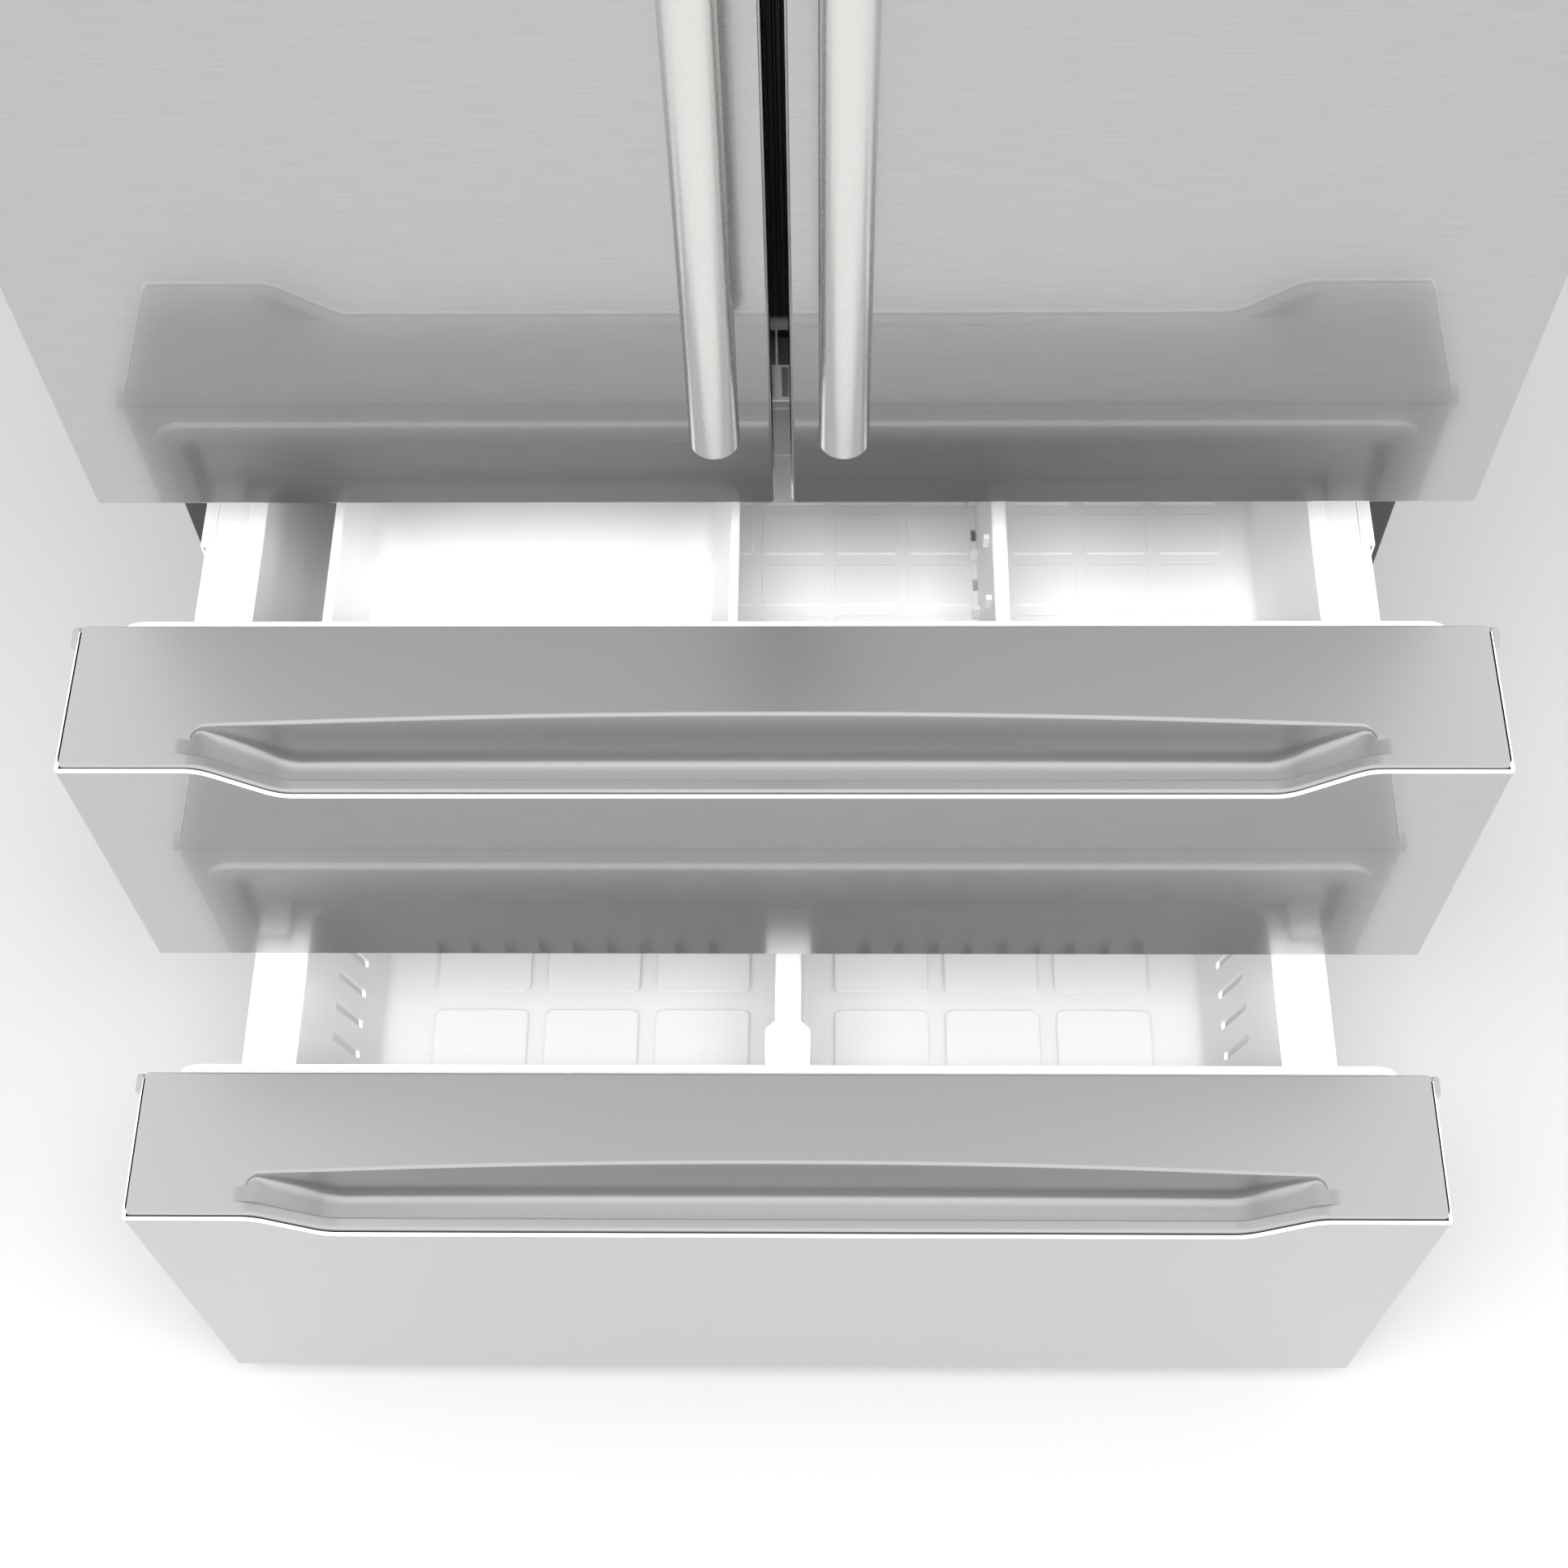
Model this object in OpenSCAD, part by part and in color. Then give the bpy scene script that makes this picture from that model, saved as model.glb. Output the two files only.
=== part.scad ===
// French door refrigerator: two doors above two pull-out freezer drawers.
// X runs to the right, Y to the back and Z up. The origin is on the floor, midway
// between the pulled-out lower drawer and the back of the case.

/* [Overall] */
// Width across the doors and the drawer fronts
front_w = 909; // [756:1:1092]
// Depth from the door fronts to the back, without handles
body_d = 725; // [604:1:870]
// Height of the case top above the floor
case_top = 1752; // [1620:1:2103]

/* [Case] */
// Step from the front's side to the case's side
case_inset = 2; // [0:0.5:6]
// Steel sheet of the case, the door skins and the back
sheet = 1; // [0.8:0.1:1.5]
// Width of the steel flange around the case's mouth
flange_w = 25.5; // [20:0.5:30]
// Wall of the moulded liners
liner_t = 2; // [1.5:0.1:3]
// Width of the flange above the mouth
flange_top = 37; // [30:1:50]
// White lip between the flange and the liner's wall
lip_w = 12; // [8:1:16]
// Foam and liner behind both compartments
back_wall = 62; // [50:1:80]
// Height of the base plate above the floor
base_z = 30; // [26:1:40]
// Depth of the machine compartment at the back
machine_d = 175; // [165:1:190]
// Clearance between the lower rails and the step above the machine compartment
step_gap = 4.5; // [2:0.5:6]
// Foam between the machine compartment and the freezer
machine_wall = 40; // [30:1:50]

/* [Fronts] */
// Thickness of the doors and the drawer fronts
front_t = 109; // [90:1:131]
// Depth of the soft gasket
seal_t = 12; // [10:0.5:14]
// Clearance between a gasket and the case
seal_gap = 1; // [0.5:0.1:2]
// Width of the gasket's section
seal_w = 18; // [14:1:20]
// Gasket's inset from the side of its front
seal_inset = 18; // [14:1:20]
// Gasket's inset from the top and bottom of its front
seal_inset_z = 12; // [8:1:16]
// Outer bend radius of the steel skins
bend_r = 3.2; // [2:0.1:6]
// Height of the lower drawer front's bottom edge
fronts_z = 60; // [56:1:80]
// Height of the lower drawer front
lower_h = 364; // [330:1:440]
// Gap between the two drawer fronts
drawer_gap = 6.5; // [4:0.5:10]
// Height of the upper drawer front
upper_h = 267; // [250:1:330]
// Gap between the upper drawer front and the doors
door_gap_z = 8.9; // [8:0.1:12]
// Gap between the two doors
door_gap = 10.7; // [9:0.1:14]
// Gap between the door tops and the hinge plates
top_gap = 5; // [4:0.5:8]

/* [Handles] */
// Diameter of the handle tubes
handle_d = 30; // [24:1:34]
// Wall of the handle tubes
handle_wall = 1.5; // [1:0.1:3]
// Distance of a handle's axis from the middle
handle_x = 38.5; // [34:0.5:60]
// Distance of a handle's axis from the door front
handle_out = 55; // [45:1:70]
// Height of a handle's lower end above the door's bottom
handle_up = 140; // [100:1:200]
// Distance of a handle's upper end below the door's top
handle_down = 120.6; // [100:0.1:400]

/* [Pocket grips] */
// Depth of the dip in the drawer fronts' top edge
dip_h = 32.5; // [24:0.5:40]
// Distance of the dip from the front's sides
dip_side = 89.5; // [86.5:0.5:155]
// Length of the dip's sloping ends
dip_slope = 45; // [30:1:60]
// Thickness of the grip's lip
lip_t = 13.6; // [10:0.1:18]
// Depth of the pocket below the top
pocket_h = 51; // [42:1:60]
// Distance of the pocket's back wall from the front, in the middle
pocket_back = 42.5; // [38:0.5:60]
// How much closer the back wall is at the pocket's ends
pocket_bow = 9.5; // [4:0.5:12]

/* [Drawers] */
// Distance that the upper drawer is pulled out
upper_out = 199; // [0:1:350]
// Distance that the lower drawer is pulled out
lower_out = 397; // [360:1:430]
// Space for the rails between a basket's rim and the liner's wall
rail_space = 37; // [37:1:80]
// Width of the baskets' rim
rim_w = 10; // [8:1:14]
// Wall of the baskets
basket_t = 3; // [2:0.5:4]
// Distance of a basket's rim below its front's top
rim_drop = 80; // [66:1:96]
// Space behind the closed upper basket
upper_back_gap = 69; // [40:1:150]
// Space behind the closed lower basket
lower_back_gap = 16; // [16:1:80]
// Place of the upper basket's divider
divider_x = 150; // [60:1:250]
// Thickness of the dividers
divider_t = 8; // [5:0.5:12]
// Distance of the ice tray from the basket's left side
tray_gap = 51; // [20:1:100]
// Width of the ice tray
tray_w = 285; // [200:1:320]
// Depth of the ice tray's hollow
tray_h = 60; // [40:1:90]
// Space behind the telescopic rails
rail_back_gap = 81; // [70:1:130]

/* [Fridge compartment] */
// Distance of the shelves' front edge from the door fronts
shelf_front = 240; // [230:1:280]
// Height of the crisper cover
crisper_top = 930; // [900:1:960]
// Height of the lower shelves
shelf_low = 1180; // [1100:1:1240]
// Height of the upper shelves
shelf_high = 1430; // [1380:1:1480]
// Height of the lowest door bins
bin_low = 800; // [780:1:820]
// Height of the middle door bins
bin_mid = 1080; // [1040:1:1120]
// Height of the top door bins
bin_high = 1360; // [1320:1:1400]

/* [Hinges and feet] */
// Diameter of the hinge pins
pin_d = 10; // [8:0.5:12]
// Radial running clearance of pins and shafts
run_gap = 0.05; // [0.02:0.01:0.1]
// Hinge axis from the front's side
hinge_in = 24.5; // [22:0.5:28]
// Hinge axis from the door front
hinge_back = 40; // [36:0.5:44]
// Diameter of the levelling feet
foot_d = 44; // [36:1:50]
// Diameter of the rear rollers
roller_d = 50; // [44:1:52]

/* [Hidden] */
$fn = 48;

// colours
steel = [0.78, 0.78, 0.78];
silver = [0.72, 0.72, 0.73];
white = [0.95, 0.95, 0.95];
dark = [0.28, 0.28, 0.29];
black = [0.12, 0.12, 0.13];
zinc = [0.62, 0.63, 0.64];
foam = [0.93, 0.86, 0.62];
clear = [0.75, 0.88, 0.9, 0.5];

// across
front_half = front_w / 2;
case_half = front_half - case_inset;
mouth_half = case_half - flange_w;
liner_half = mouth_half - lip_w;
// front to back
door_y = -(body_d - lower_out) / 2;
case_y = door_y + front_t + seal_t + seal_gap;
back_y = door_y + body_d;
liner_back = back_y - back_wall;
machine_y = back_y - machine_d;
freezer_back = machine_y - machine_wall;
rail_y = case_y + 10;
rail_len = liner_back - rail_back_gap - rail_y;
upper_y = door_y - upper_out;
lower_y = door_y - lower_out;
// heights
lower_top = fronts_z + lower_h;
upper_z = lower_top + drawer_gap;
upper_top = upper_z + upper_h;
door_z = upper_top + door_gap_z;
door_top = case_top - top_gap;
mouth_top = case_top - flange_top;
// the rails across the mouth reach a little past the gaskets
seal_land = 2;
door_seal_z = seal_inset_z - 6;
rail_mid_z = lower_top - seal_inset_z - seal_w - seal_land;
rail_mid_top = upper_z + seal_inset_z + seal_w;
rail_top_z = upper_top - seal_inset_z - seal_w - 4 * seal_land;
rail_top_top = door_z + door_seal_z + seal_w + 5;
sill_top = fronts_z + seal_inset_z + seal_w + seal_land;
rail_d = 20;
upper_rim = upper_top - rim_drop;
lower_rim = lower_top - rim_drop;
rail_drop = 27;
rail_half = 22.5;
step_top = lower_rim - rail_drop - rail_half - step_gap;
machine_top = step_top - machine_wall;
fridge_floor = rail_top_top + liner_t;
fridge_ceiling = mouth_top - lip_w;
freezer_floor = sill_top + liner_t;
freezer_ceiling = rail_top_z - liner_t;
// doors
door_w = (front_w - door_gap) / 2;
door_mid = door_gap / 2;
cap_t = 16;
skin_d = front_t - 5;
dyke_t = 12;
dyke_d = 46;
dyke_gap = 13;
dyke_out = mouth_half - dyke_gap - 9;
dyke_in = 62;
dyke_z = fridge_floor + dyke_gap;
dyke_top = fridge_ceiling - dyke_gap;
bin_d = 103;
bin_h = 95;
hinge_x = front_half - hinge_in;
hinge_y = door_y + hinge_back;
plate_t = 4;
plate_in = 30;
plate_out = 18;
plate_front = 15;
plate_back = 98;
handle_len = door_top - door_z - handle_up - handle_down;
// flipper mullion
mullion_out = 40;
mullion_in = door_mid - 1.85;
mullion_d = 19;
mullion_z = fridge_floor + 9;
mullion_top = fridge_ceiling - 9;
mullion_pin_x = 36;
mullion_pin_y = case_y + 4;
// drawers
drawer_cap_t = 3;
bottom_cap_t = 12;
panel_t = 5;
dip_top = front_half - dip_side;
dip_floor = dip_top - dip_slope;
pocket_end = dip_top + 7;
upper_floor = rail_mid_top + 6;
lower_floor = freezer_floor + 6;
rim_half = liner_half - rail_space;
wall_half = rim_half - rim_w;
basket_y = front_t + panel_t;
upper_basket_d = liner_back - upper_back_gap - door_y - basket_y;
lower_basket_d = freezer_back - lower_back_gap - door_y - basket_y;
tray_left = tray_gap - wall_half;
tray_right = tray_left + tray_w;

// ---- shared shapes ----

// A box from its low corner to its high corner
module block(low, high) {
    translate(low) cube([for (i = [0:2]) high[i] - low[i]]);
}

// A box with mirror copies on both sides of the middle
module both_sides() {
    children();
    mirror([1, 0, 0]) children();
}

// A rectangular ring that faces the front: outer half spans and section
module ring(x0, x1, z0, z1, w, y0, y1) {
    difference() {
        block([x0, y0, z0], [x1, y1, z1]);
        block([x0 + w, y0 - 1, z0 + w], [x1 - w, y1 + 1, z1 - w]);
    }
}

// A trapezoid in the front view, wide at the top, drawn back from y0 to y1
module trapezoid_cut(half_top, half_floor, z_top, h, y0, y1) {
    rise = 5;
    slope = (half_top - half_floor) / h;
    translate([0, y1, 0]) rotate([90, 0, 0]) linear_extrude(y1 - y0)
        polygon([[-half_top - rise * slope, z_top + rise], [-half_floor, z_top - h],
                 [half_floor, z_top - h], [half_top + rise * slope, z_top + rise]]);
}

// Plan of a steel skin: a sheet bent round the front and both sides
module skin_plan(x0, x1, y0) {
    difference() {
        bent_plan(x0, x1, y0, bend_r, skin_d);
        bent_plan(x0 + sheet, x1 - sheet, y0 + sheet, bend_r - sheet, skin_d);
    }
}

// A rectangle of depth d whose two front corners are rounded
module bent_plan(x0, x1, y0, r, d) {
    translate([x0 + r, y0]) square([x1 - x0 - 2 * r, r + 1]);
    translate([x0, y0 + r]) square([x1 - x0, d - r]);
    for (x = [x0 + r, x1 - r]) translate([x, y0 + r]) circle(r);
}

module skin(x0, x1, y0, z0, z1) {
    translate([0, 0, z0]) linear_extrude(z1 - z0) skin_plan(x0, x1, y0);
}

// Solid that fills a skin up to its open back
module skin_fill(x0, x1, y0, z0, z1) {
    translate([0, 0, z0]) linear_extrude(z1 - z0)
        bent_plan(x0 + sheet, x1 - sheet, y0 + sheet, bend_r - sheet, skin_d - sheet);
}

// ---- case ----

module outer_case() {
    color(dark) {
        both_sides() {
            block([case_half - sheet, case_y, base_z + sheet], [case_half, back_y, case_top]);
            block([mouth_half, case_y, base_z + sheet], [case_half - sheet, case_y + sheet, case_top]);
        }
        block([-case_half, case_y, case_top - sheet], [case_half, back_y, case_top]);
        block([-mouth_half, case_y, mouth_top], [mouth_half, case_y + sheet, case_top]);
    }
}

module back_panel() {
    color(zinc) block([-case_half + sheet, back_y - sheet, machine_top],
                      [case_half - sheet, back_y, case_top - sheet]);
}

module base_frame() {
    color(dark) {
        difference() {
            block([-case_half, case_y, base_z], [case_half, back_y, base_z + sheet]);
            both_sides() roller_window();
        }
        block([-mouth_half, case_y, base_z + sheet], [mouth_half, case_y + rail_d, sill_top]);
        both_sides() {
            foot_bush();
            roller_bracket();
        }
    }
}

foot_x = case_half - 40;
foot_y = case_y + rail_d / 2;
stud_r = 5;
bush_r = 9;
bush_h = 12;

module foot_bush() {
    difference() {
        translate([foot_x, foot_y, base_z - bush_h]) cylinder(r = bush_r, h = bush_h);
        foot_bore();
    }
}

module foot_bore() {
    translate([foot_x, foot_y, base_z - bush_h - 1]) cylinder(r = stud_r + run_gap, h = bush_h + 1);
}

roller_x = case_half - 45;
roller_y = back_y - 45;
roller_w = 24;
axle_r = 4;

// Opening in the base plate, through which the top of a roller stands up
module roller_window() {
    half_w = roller_w / 2 + 1.5;
    half_l = roller_d / 2 + 2;
    block([roller_x - half_w, roller_y - half_l, base_z - 1],
          [roller_x + half_w, roller_y + half_l, base_z + sheet + 1]);
}

module roller_bracket() {
    for (x = [roller_x - roller_w / 2 - 5, roller_x + roller_w / 2 + 2])
        difference() {
            block([x, roller_y - 14, roller_d / 2 - 10], [x + 3, roller_y + 14, base_z]);
            translate([x - 1, roller_y, roller_d / 2]) rotate([0, 90, 0]) cylinder(r = axle_r - 1, h = 5);
        }
    translate([roller_x - roller_w / 2 - 5, roller_y, roller_d / 2]) rotate([0, 90, 0])
        cylinder(r = axle_r, h = roller_w + 10);
}

module foot(side) {
    color(black) translate([side * foot_x, foot_y, 0]) {
        cylinder(d = foot_d, h = 6);
        translate([0, 0, 6]) cylinder(r = 10, h = 6, $fn = 6);
        cylinder(r = stud_r, h = base_z - 1);
    }
}

module roller(side) {
    color(black) translate([side * roller_x - roller_w / 2, roller_y, roller_d / 2]) rotate([0, 90, 0])
        difference() {
            cylinder(d = roller_d, h = roller_w);
            translate([0, 0, -1]) cylinder(r = axle_r + run_gap, h = roller_w + 2);
        }
}

module left_foot() {
    foot(-1);
}

module right_foot() {
    foot(1);
}

module left_roller() {
    roller(-1);
}

module right_roller() {
    roller(1);
}

module insulation() {
    color(foam) difference() {
        block([-case_half + sheet, case_y + liner_t, sill_top],
              [case_half - sheet, back_y - sheet, case_top - sheet]);
        fridge_space(liner_t);
        freezer_space(liner_t);
        block([-case_half, machine_y, 0], [case_half, back_y, machine_top]);
        for (z = [rail_mid_z, rail_top_z])
            block([-mouth_half, case_y, z],
                  [mouth_half, case_y + rail_d, z == rail_top_z ? rail_top_top : rail_mid_top]);
        block([-case_half, case_y, 0], [case_half, case_y + rail_d, sill_top + 1]);
    }
}

// Space of the fridge compartment, grown by t
module fridge_space(t) {
    block([-liner_half - t, case_y - 1, fridge_floor - t],
          [liner_half + t, liner_back + t, fridge_ceiling + t]);
}

// Space of the freezer compartment, which steps forward above the machines
module freezer_space(t) {
    block([-liner_half - t, case_y - 1, freezer_floor - t],
          [liner_half + t, freezer_back + t, freezer_ceiling + t]);
    block([-liner_half - t, case_y + 1, step_top - t],
          [liner_half + t, liner_back + t, freezer_ceiling + t]);
}

module fridge_liner() {
    color(white) difference() {
        union() {
            fridge_space(liner_t);
            block([-mouth_half, case_y, fridge_floor - liner_t], [mouth_half, case_y + liner_t, mouth_top]);
        }
        fridge_space(0);
        block([-mouth_half, case_y - 2, 0], [mouth_half, case_y, case_top]);
    }
}

module freezer_liner() {
    color(white) difference() {
        union() {
            freezer_space(liner_t);
            block([-mouth_half, case_y, freezer_floor - liner_t],
                  [mouth_half, case_y + liner_t, freezer_ceiling + liner_t]);
        }
        freezer_space(0);
        block([-mouth_half, case_y - 2, 0], [mouth_half, case_y, case_top]);
        // the rail between the drawers crosses the liner's mouth
        block([-mouth_half, case_y - 1, rail_mid_z], [mouth_half, case_y + rail_d, rail_mid_top]);
    }
}

catch_half = 20;
catch_h = rail_top_top - rail_top_z - 28;
catch_d = 14;

module cross_rails() {
    color(white) {
        difference() {
            block([-mouth_half, case_y, rail_top_z], [mouth_half, case_y + rail_d, rail_top_top]);
            block([-catch_half, case_y - 1, rail_top_z - 1],
                  [catch_half, case_y + catch_d, rail_top_z + catch_h]);
        }
        block([-mouth_half, case_y, rail_mid_z], [mouth_half, case_y + rail_d, rail_mid_top]);
    }
}

// Guide block in the middle of the upper cross rail, with the slot for the mullion's cam
module mullion_catch() {
    slot_half = 2.25;
    stop_half = 4.5;
    color(zinc) {
        difference() {
            block([-catch_half, case_y, rail_top_z], [catch_half, case_y + catch_d, rail_top_z + catch_h]);
            block([-slot_half, case_y - 1, rail_top_z + 4],
                  [slot_half, case_y + catch_d - 3, rail_top_z + catch_h - 12]);
        }
        block([-stop_half, case_y - 7, rail_top_z + catch_h], [stop_half, case_y, rail_top_top]);
        block([-stop_half, case_y - 7, door_z], [stop_half, case_y, rail_top_z + catch_h]);
    }
}

// ---- hinges ----

module hinge_side() {
    // top plate and pin
    block([hinge_x - plate_in, hinge_y - plate_front, case_top],
          [hinge_x + plate_out, case_y + plate_back, case_top + plate_t]);
    translate([hinge_x, hinge_y, door_top - 13]) cylinder(d = pin_d, h = case_top - door_top + 14);
    // bracket between the door and the drawer, its pin and washer
    block([hinge_x - 25, hinge_y - 12, door_z - 6], [hinge_x + 20, case_y, door_z - 3]);
    block([hinge_x - 40, case_y - 3, upper_top - seal_inset_z + 3],
          [hinge_x + 20, case_y, door_z + door_seal_z - 1]);
    translate([hinge_x, hinge_y, door_z - 3]) cylinder(d = pin_d, h = 17);
    translate([hinge_x, hinge_y, door_z - 3]) cylinder(d = pin_d + 8, h = 2.7);
}

module door_hinges() {
    color(zinc) both_sides() hinge_side();
}

module hinge_covers() {
    wall = 2.5;
    cover_h = 26;
    corner_r = 6;
    margin = wall + 1.5;
    low = [hinge_x - plate_in - margin, hinge_y - plate_front - margin, case_top];
    high = [hinge_x + plate_out + margin, case_y + plate_back + margin, case_top + cover_h];
    color(dark) both_sides() difference() {
        hull()
            for (x = [low[0] + corner_r, high[0] - corner_r], y = [low[1] + corner_r, high[1] - corner_r])
                translate([x, y, case_top]) {
                    cylinder(r = corner_r, h = cover_h - 4, $fn = 24);
                    cylinder(r = corner_r / 2, h = cover_h, $fn = 24);
                }
        block([low[0] + wall, low[1] + wall, case_top - 1], [high[0] - wall, high[1] - wall, high[2] - wall]);
    }
}

// ---- machine compartment ----

module kick_grille() {
    slot_pitch = 30;
    slot_count = floor((2 * mouth_half - 60) / slot_pitch);
    color(dark) difference() {
        block([-mouth_half, case_y - 8, 14], [mouth_half, case_y, fronts_z - 4]);
        block([-mouth_half - 1, case_y - 5, 12], [mouth_half + 1, case_y + 1, base_z - 2]);
        for (i = [0:slot_count - 1])
            block([(i - slot_count / 2 + 0.2) * slot_pitch, case_y - 9, 34],
                  [(i - slot_count / 2 + 0.8) * slot_pitch, case_y + 1, 40]);
    }
}

compressor_x = -case_half + 170;
machine_mid = machine_y + machine_d / 2;
floor_top = base_z + sheet;

module compressor() {
    r = 72;
    color(black) {
        translate([compressor_x, machine_mid, floor_top + 20]) rotate_extrude()
            polygon([[0, 0], [r - 16, 0], [r, 18], [r, 118], [r - 8, 138], [r - 30, 152], [0, 158]]);
        block([compressor_x - 95, machine_mid - 60, floor_top + 12],
              [compressor_x + 95, machine_mid + 60, floor_top + 22]);
        for (x = [-78, 78], y = [-48, 48])
            translate([compressor_x + x, machine_mid + y, floor_top]) cylinder(r = 11, h = 13);
    }
}

module compressor_cover() {
    slot_count = 14;
    color(dark) difference() {
        block([-case_half + sheet, back_y - sheet, floor_top], [case_half - sheet, back_y, machine_top]);
        for (i = [0:slot_count - 1], side = [-1, 1])
            translate([side * 90 + side * i * 18, back_y - sheet - 1, floor_top + 60])
                cube([8, sheet + 2, 110]);
        translate([inlet_x, back_y - sheet - 1, inlet_z]) rotate([-90, 0, 0])
            cylinder(r = inlet_r + 4, h = sheet + 2);
    }
}

inlet_x = case_half - 40;
inlet_z = floor_top + 40;
inlet_r = 4.6;

// Moulded gland that the mains lead passes through
module cord_inlet() {
    color(black) translate([inlet_x, back_y, inlet_z]) rotate([90, 0, 0]) difference() {
        union() {
            translate([0, 0, sheet]) cylinder(r = inlet_r + 6, h = 8);
            cylinder(r = inlet_r + 4, h = sheet + 1);
        }
        translate([0, 0, -1]) cylinder(r = inlet_r, h = sheet + 12);
    }
}

condenser_x = 150;
pan_half = 70;
pan_h = 20;

// Finned tubes between two end plates that stand on the drip pan's rim
module condenser() {
    fin_count = 16;
    fin_pitch = 9;
    tube_r = 4;
    len = fin_count * fin_pitch + 20;
    z0 = floor_top + 24;
    color(zinc) {
        for (i = [0:fin_count - 1])
            block([condenser_x + 10 + i * fin_pitch, machine_mid - 55, z0],
                  [condenser_x + 11 + i * fin_pitch, machine_mid + 55, z0 + 130]);
        for (y = [-33, 0, 33], z = [25, 65, 105])
            translate([condenser_x, machine_mid + y, z0 + z]) rotate([0, 90, 0])
                cylinder(r = tube_r, h = len);
        for (x = [condenser_x - 2, condenser_x + len])
            block([x, machine_mid - pan_half, floor_top + pan_h], [x + 2, machine_mid + pan_half, z0 + 135]);
    }
}

fan_x = 60;
fan_z = floor_top + 95;
fan_r = 62;
shaft_r = 3;

module fan_motor() {
    color(black) {
        translate([fan_x - 52, machine_mid, fan_z]) rotate([0, 90, 0]) cylinder(r = 26, h = 34);
        translate([fan_x - 19, machine_mid, fan_z]) rotate([0, 90, 0]) cylinder(r = shaft_r, h = 28);
        block([fan_x - 44, machine_mid - 6, floor_top], [fan_x - 38, machine_mid + 6, fan_z - 20]);
        block([fan_x - 50, machine_mid - 20, floor_top], [fan_x - 30, machine_mid + 20, floor_top + 3]);
    }
}

module condenser_fan() {
    blade_count = 5;
    color(white) translate([fan_x - 14, machine_mid, fan_z]) rotate([0, 90, 0]) difference() {
        union() {
            cylinder(r = 16, h = 18);
            for (i = [0:blade_count - 1]) rotate([0, 0, i * 360 / blade_count])
                translate([12, 0, 9]) rotate([35, 0, 0]) translate([0, -14, -1])
                    cube([fan_r - 14, 28, 2]);
        }
        translate([0, 0, -1]) cylinder(r = shaft_r + run_gap, h = 20);
    }
}

module drip_pan() {
    color(black) difference() {
        block([condenser_x - 20, machine_mid - pan_half, floor_top],
              [condenser_x + 200, machine_mid + pan_half, floor_top + pan_h]);
        block([condenser_x - 18, machine_mid - pan_half + 2, floor_top + 2],
              [condenser_x + 198, machine_mid + pan_half - 2, floor_top + pan_h + 1]);
    }
}

// ---- fridge interior ----

shelf_gap = 4;
shelf_half_w = liner_half - shelf_gap / 2;
shelf_frame = 12;
shelf_back = liner_back - 20;

module each_shelf() {
    for (x = [-liner_half, shelf_gap / 2], z = [shelf_low, shelf_high]) translate([x, 0, z]) children();
}

module shelf_frames() {
    y0 = door_y + shelf_front;
    color(white) {
        each_shelf() difference() {
            block([0, y0, 0], [shelf_half_w, shelf_back, 14]);
            block([shelf_frame, y0 + shelf_frame, -1],
                  [shelf_half_w - shelf_frame, shelf_back - shelf_frame, 15]);
            block([shelf_frame - 5, y0 + shelf_frame - 5, 8],
                  [shelf_half_w - shelf_frame + 5, shelf_back - shelf_frame + 5, 15]);
        }
        difference() {
            block([-liner_half, y0, crisper_top], [liner_half, shelf_back, crisper_top + 14]);
            for (x = [-liner_half + shelf_frame, shelf_frame / 2])
                block([x, y0 + shelf_frame, crisper_top - 1],
                      [x + liner_half - 1.5 * shelf_frame, shelf_back - shelf_frame, crisper_top + 15]);
            block([-liner_half + 8, y0 + 8, crisper_top + 8],
                  [liner_half - 8, shelf_back - 8, crisper_top + 15]);
        }
        both_sides() for (z = [shelf_low, shelf_high])
            block([liner_half - 6, y0 + 40, z - 12], [liner_half, shelf_back - 40, z]);
    }
}

module shelf_glass() {
    y0 = door_y + shelf_front;
    color(clear) {
        each_shelf() block([shelf_frame - 5, y0 + shelf_frame - 5, 8],
                           [shelf_half_w - shelf_frame + 5, shelf_back - shelf_frame + 5, 12]);
        block([-liner_half + 8, y0 + 8, crisper_top + 8], [liner_half - 8, shelf_back - 8, crisper_top + 12]);
    }
}

crisper_w = liner_half - 8;
crisper_z = fridge_floor + 4;
crisper_h = crisper_top - 8 - crisper_z;

module crispers() {
    y0 = door_y + shelf_front;
    d = liner_back - 60 - y0;
    color(clear) both_sides() difference() {
        block([3, y0, crisper_z], [3 + crisper_w, y0 + d, crisper_z + crisper_h]);
        block([6, y0 + 4, crisper_z + 3], [crisper_w, y0 + d - 3, crisper_z + crisper_h + 1]);
        block([crisper_w / 2 - 60, y0 - 1, crisper_z + crisper_h - 26],
              [crisper_w / 2 + 60, y0 + 5, crisper_z + crisper_h + 1]);
    }
    color(white) both_sides()
        block([20, y0 + 20, fridge_floor], [crisper_w - 14, y0 + 60, crisper_z]);
}

module air_duct() {
    duct_half = 95;
    vent_count = 5;
    z0 = crisper_top + 40;
    z1 = fridge_ceiling - 30;
    color(white) difference() {
        block([-duct_half, liner_back - 16, z0], [duct_half, liner_back, z1]);
        for (i = [0:vent_count - 1], side = [-1, 1])
            translate([side * 55 - 25, liner_back - 17, z0 + 60 + i * (z1 - z0 - 120) / (vent_count - 1)])
                cube([50, 13, 8]);
    }
}

module control_panel() {
    color(white) difference() {
        block([-130, case_y + 60, fridge_ceiling - 26], [130, case_y + 150, fridge_ceiling]);
        block([-118, case_y + 59, fridge_ceiling - 20], [118, case_y + 61, fridge_ceiling - 6]);
    }
}

// ---- telescopic rails ----
// Each section is a channel whose web stands u0 inside the liner's wall

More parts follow.
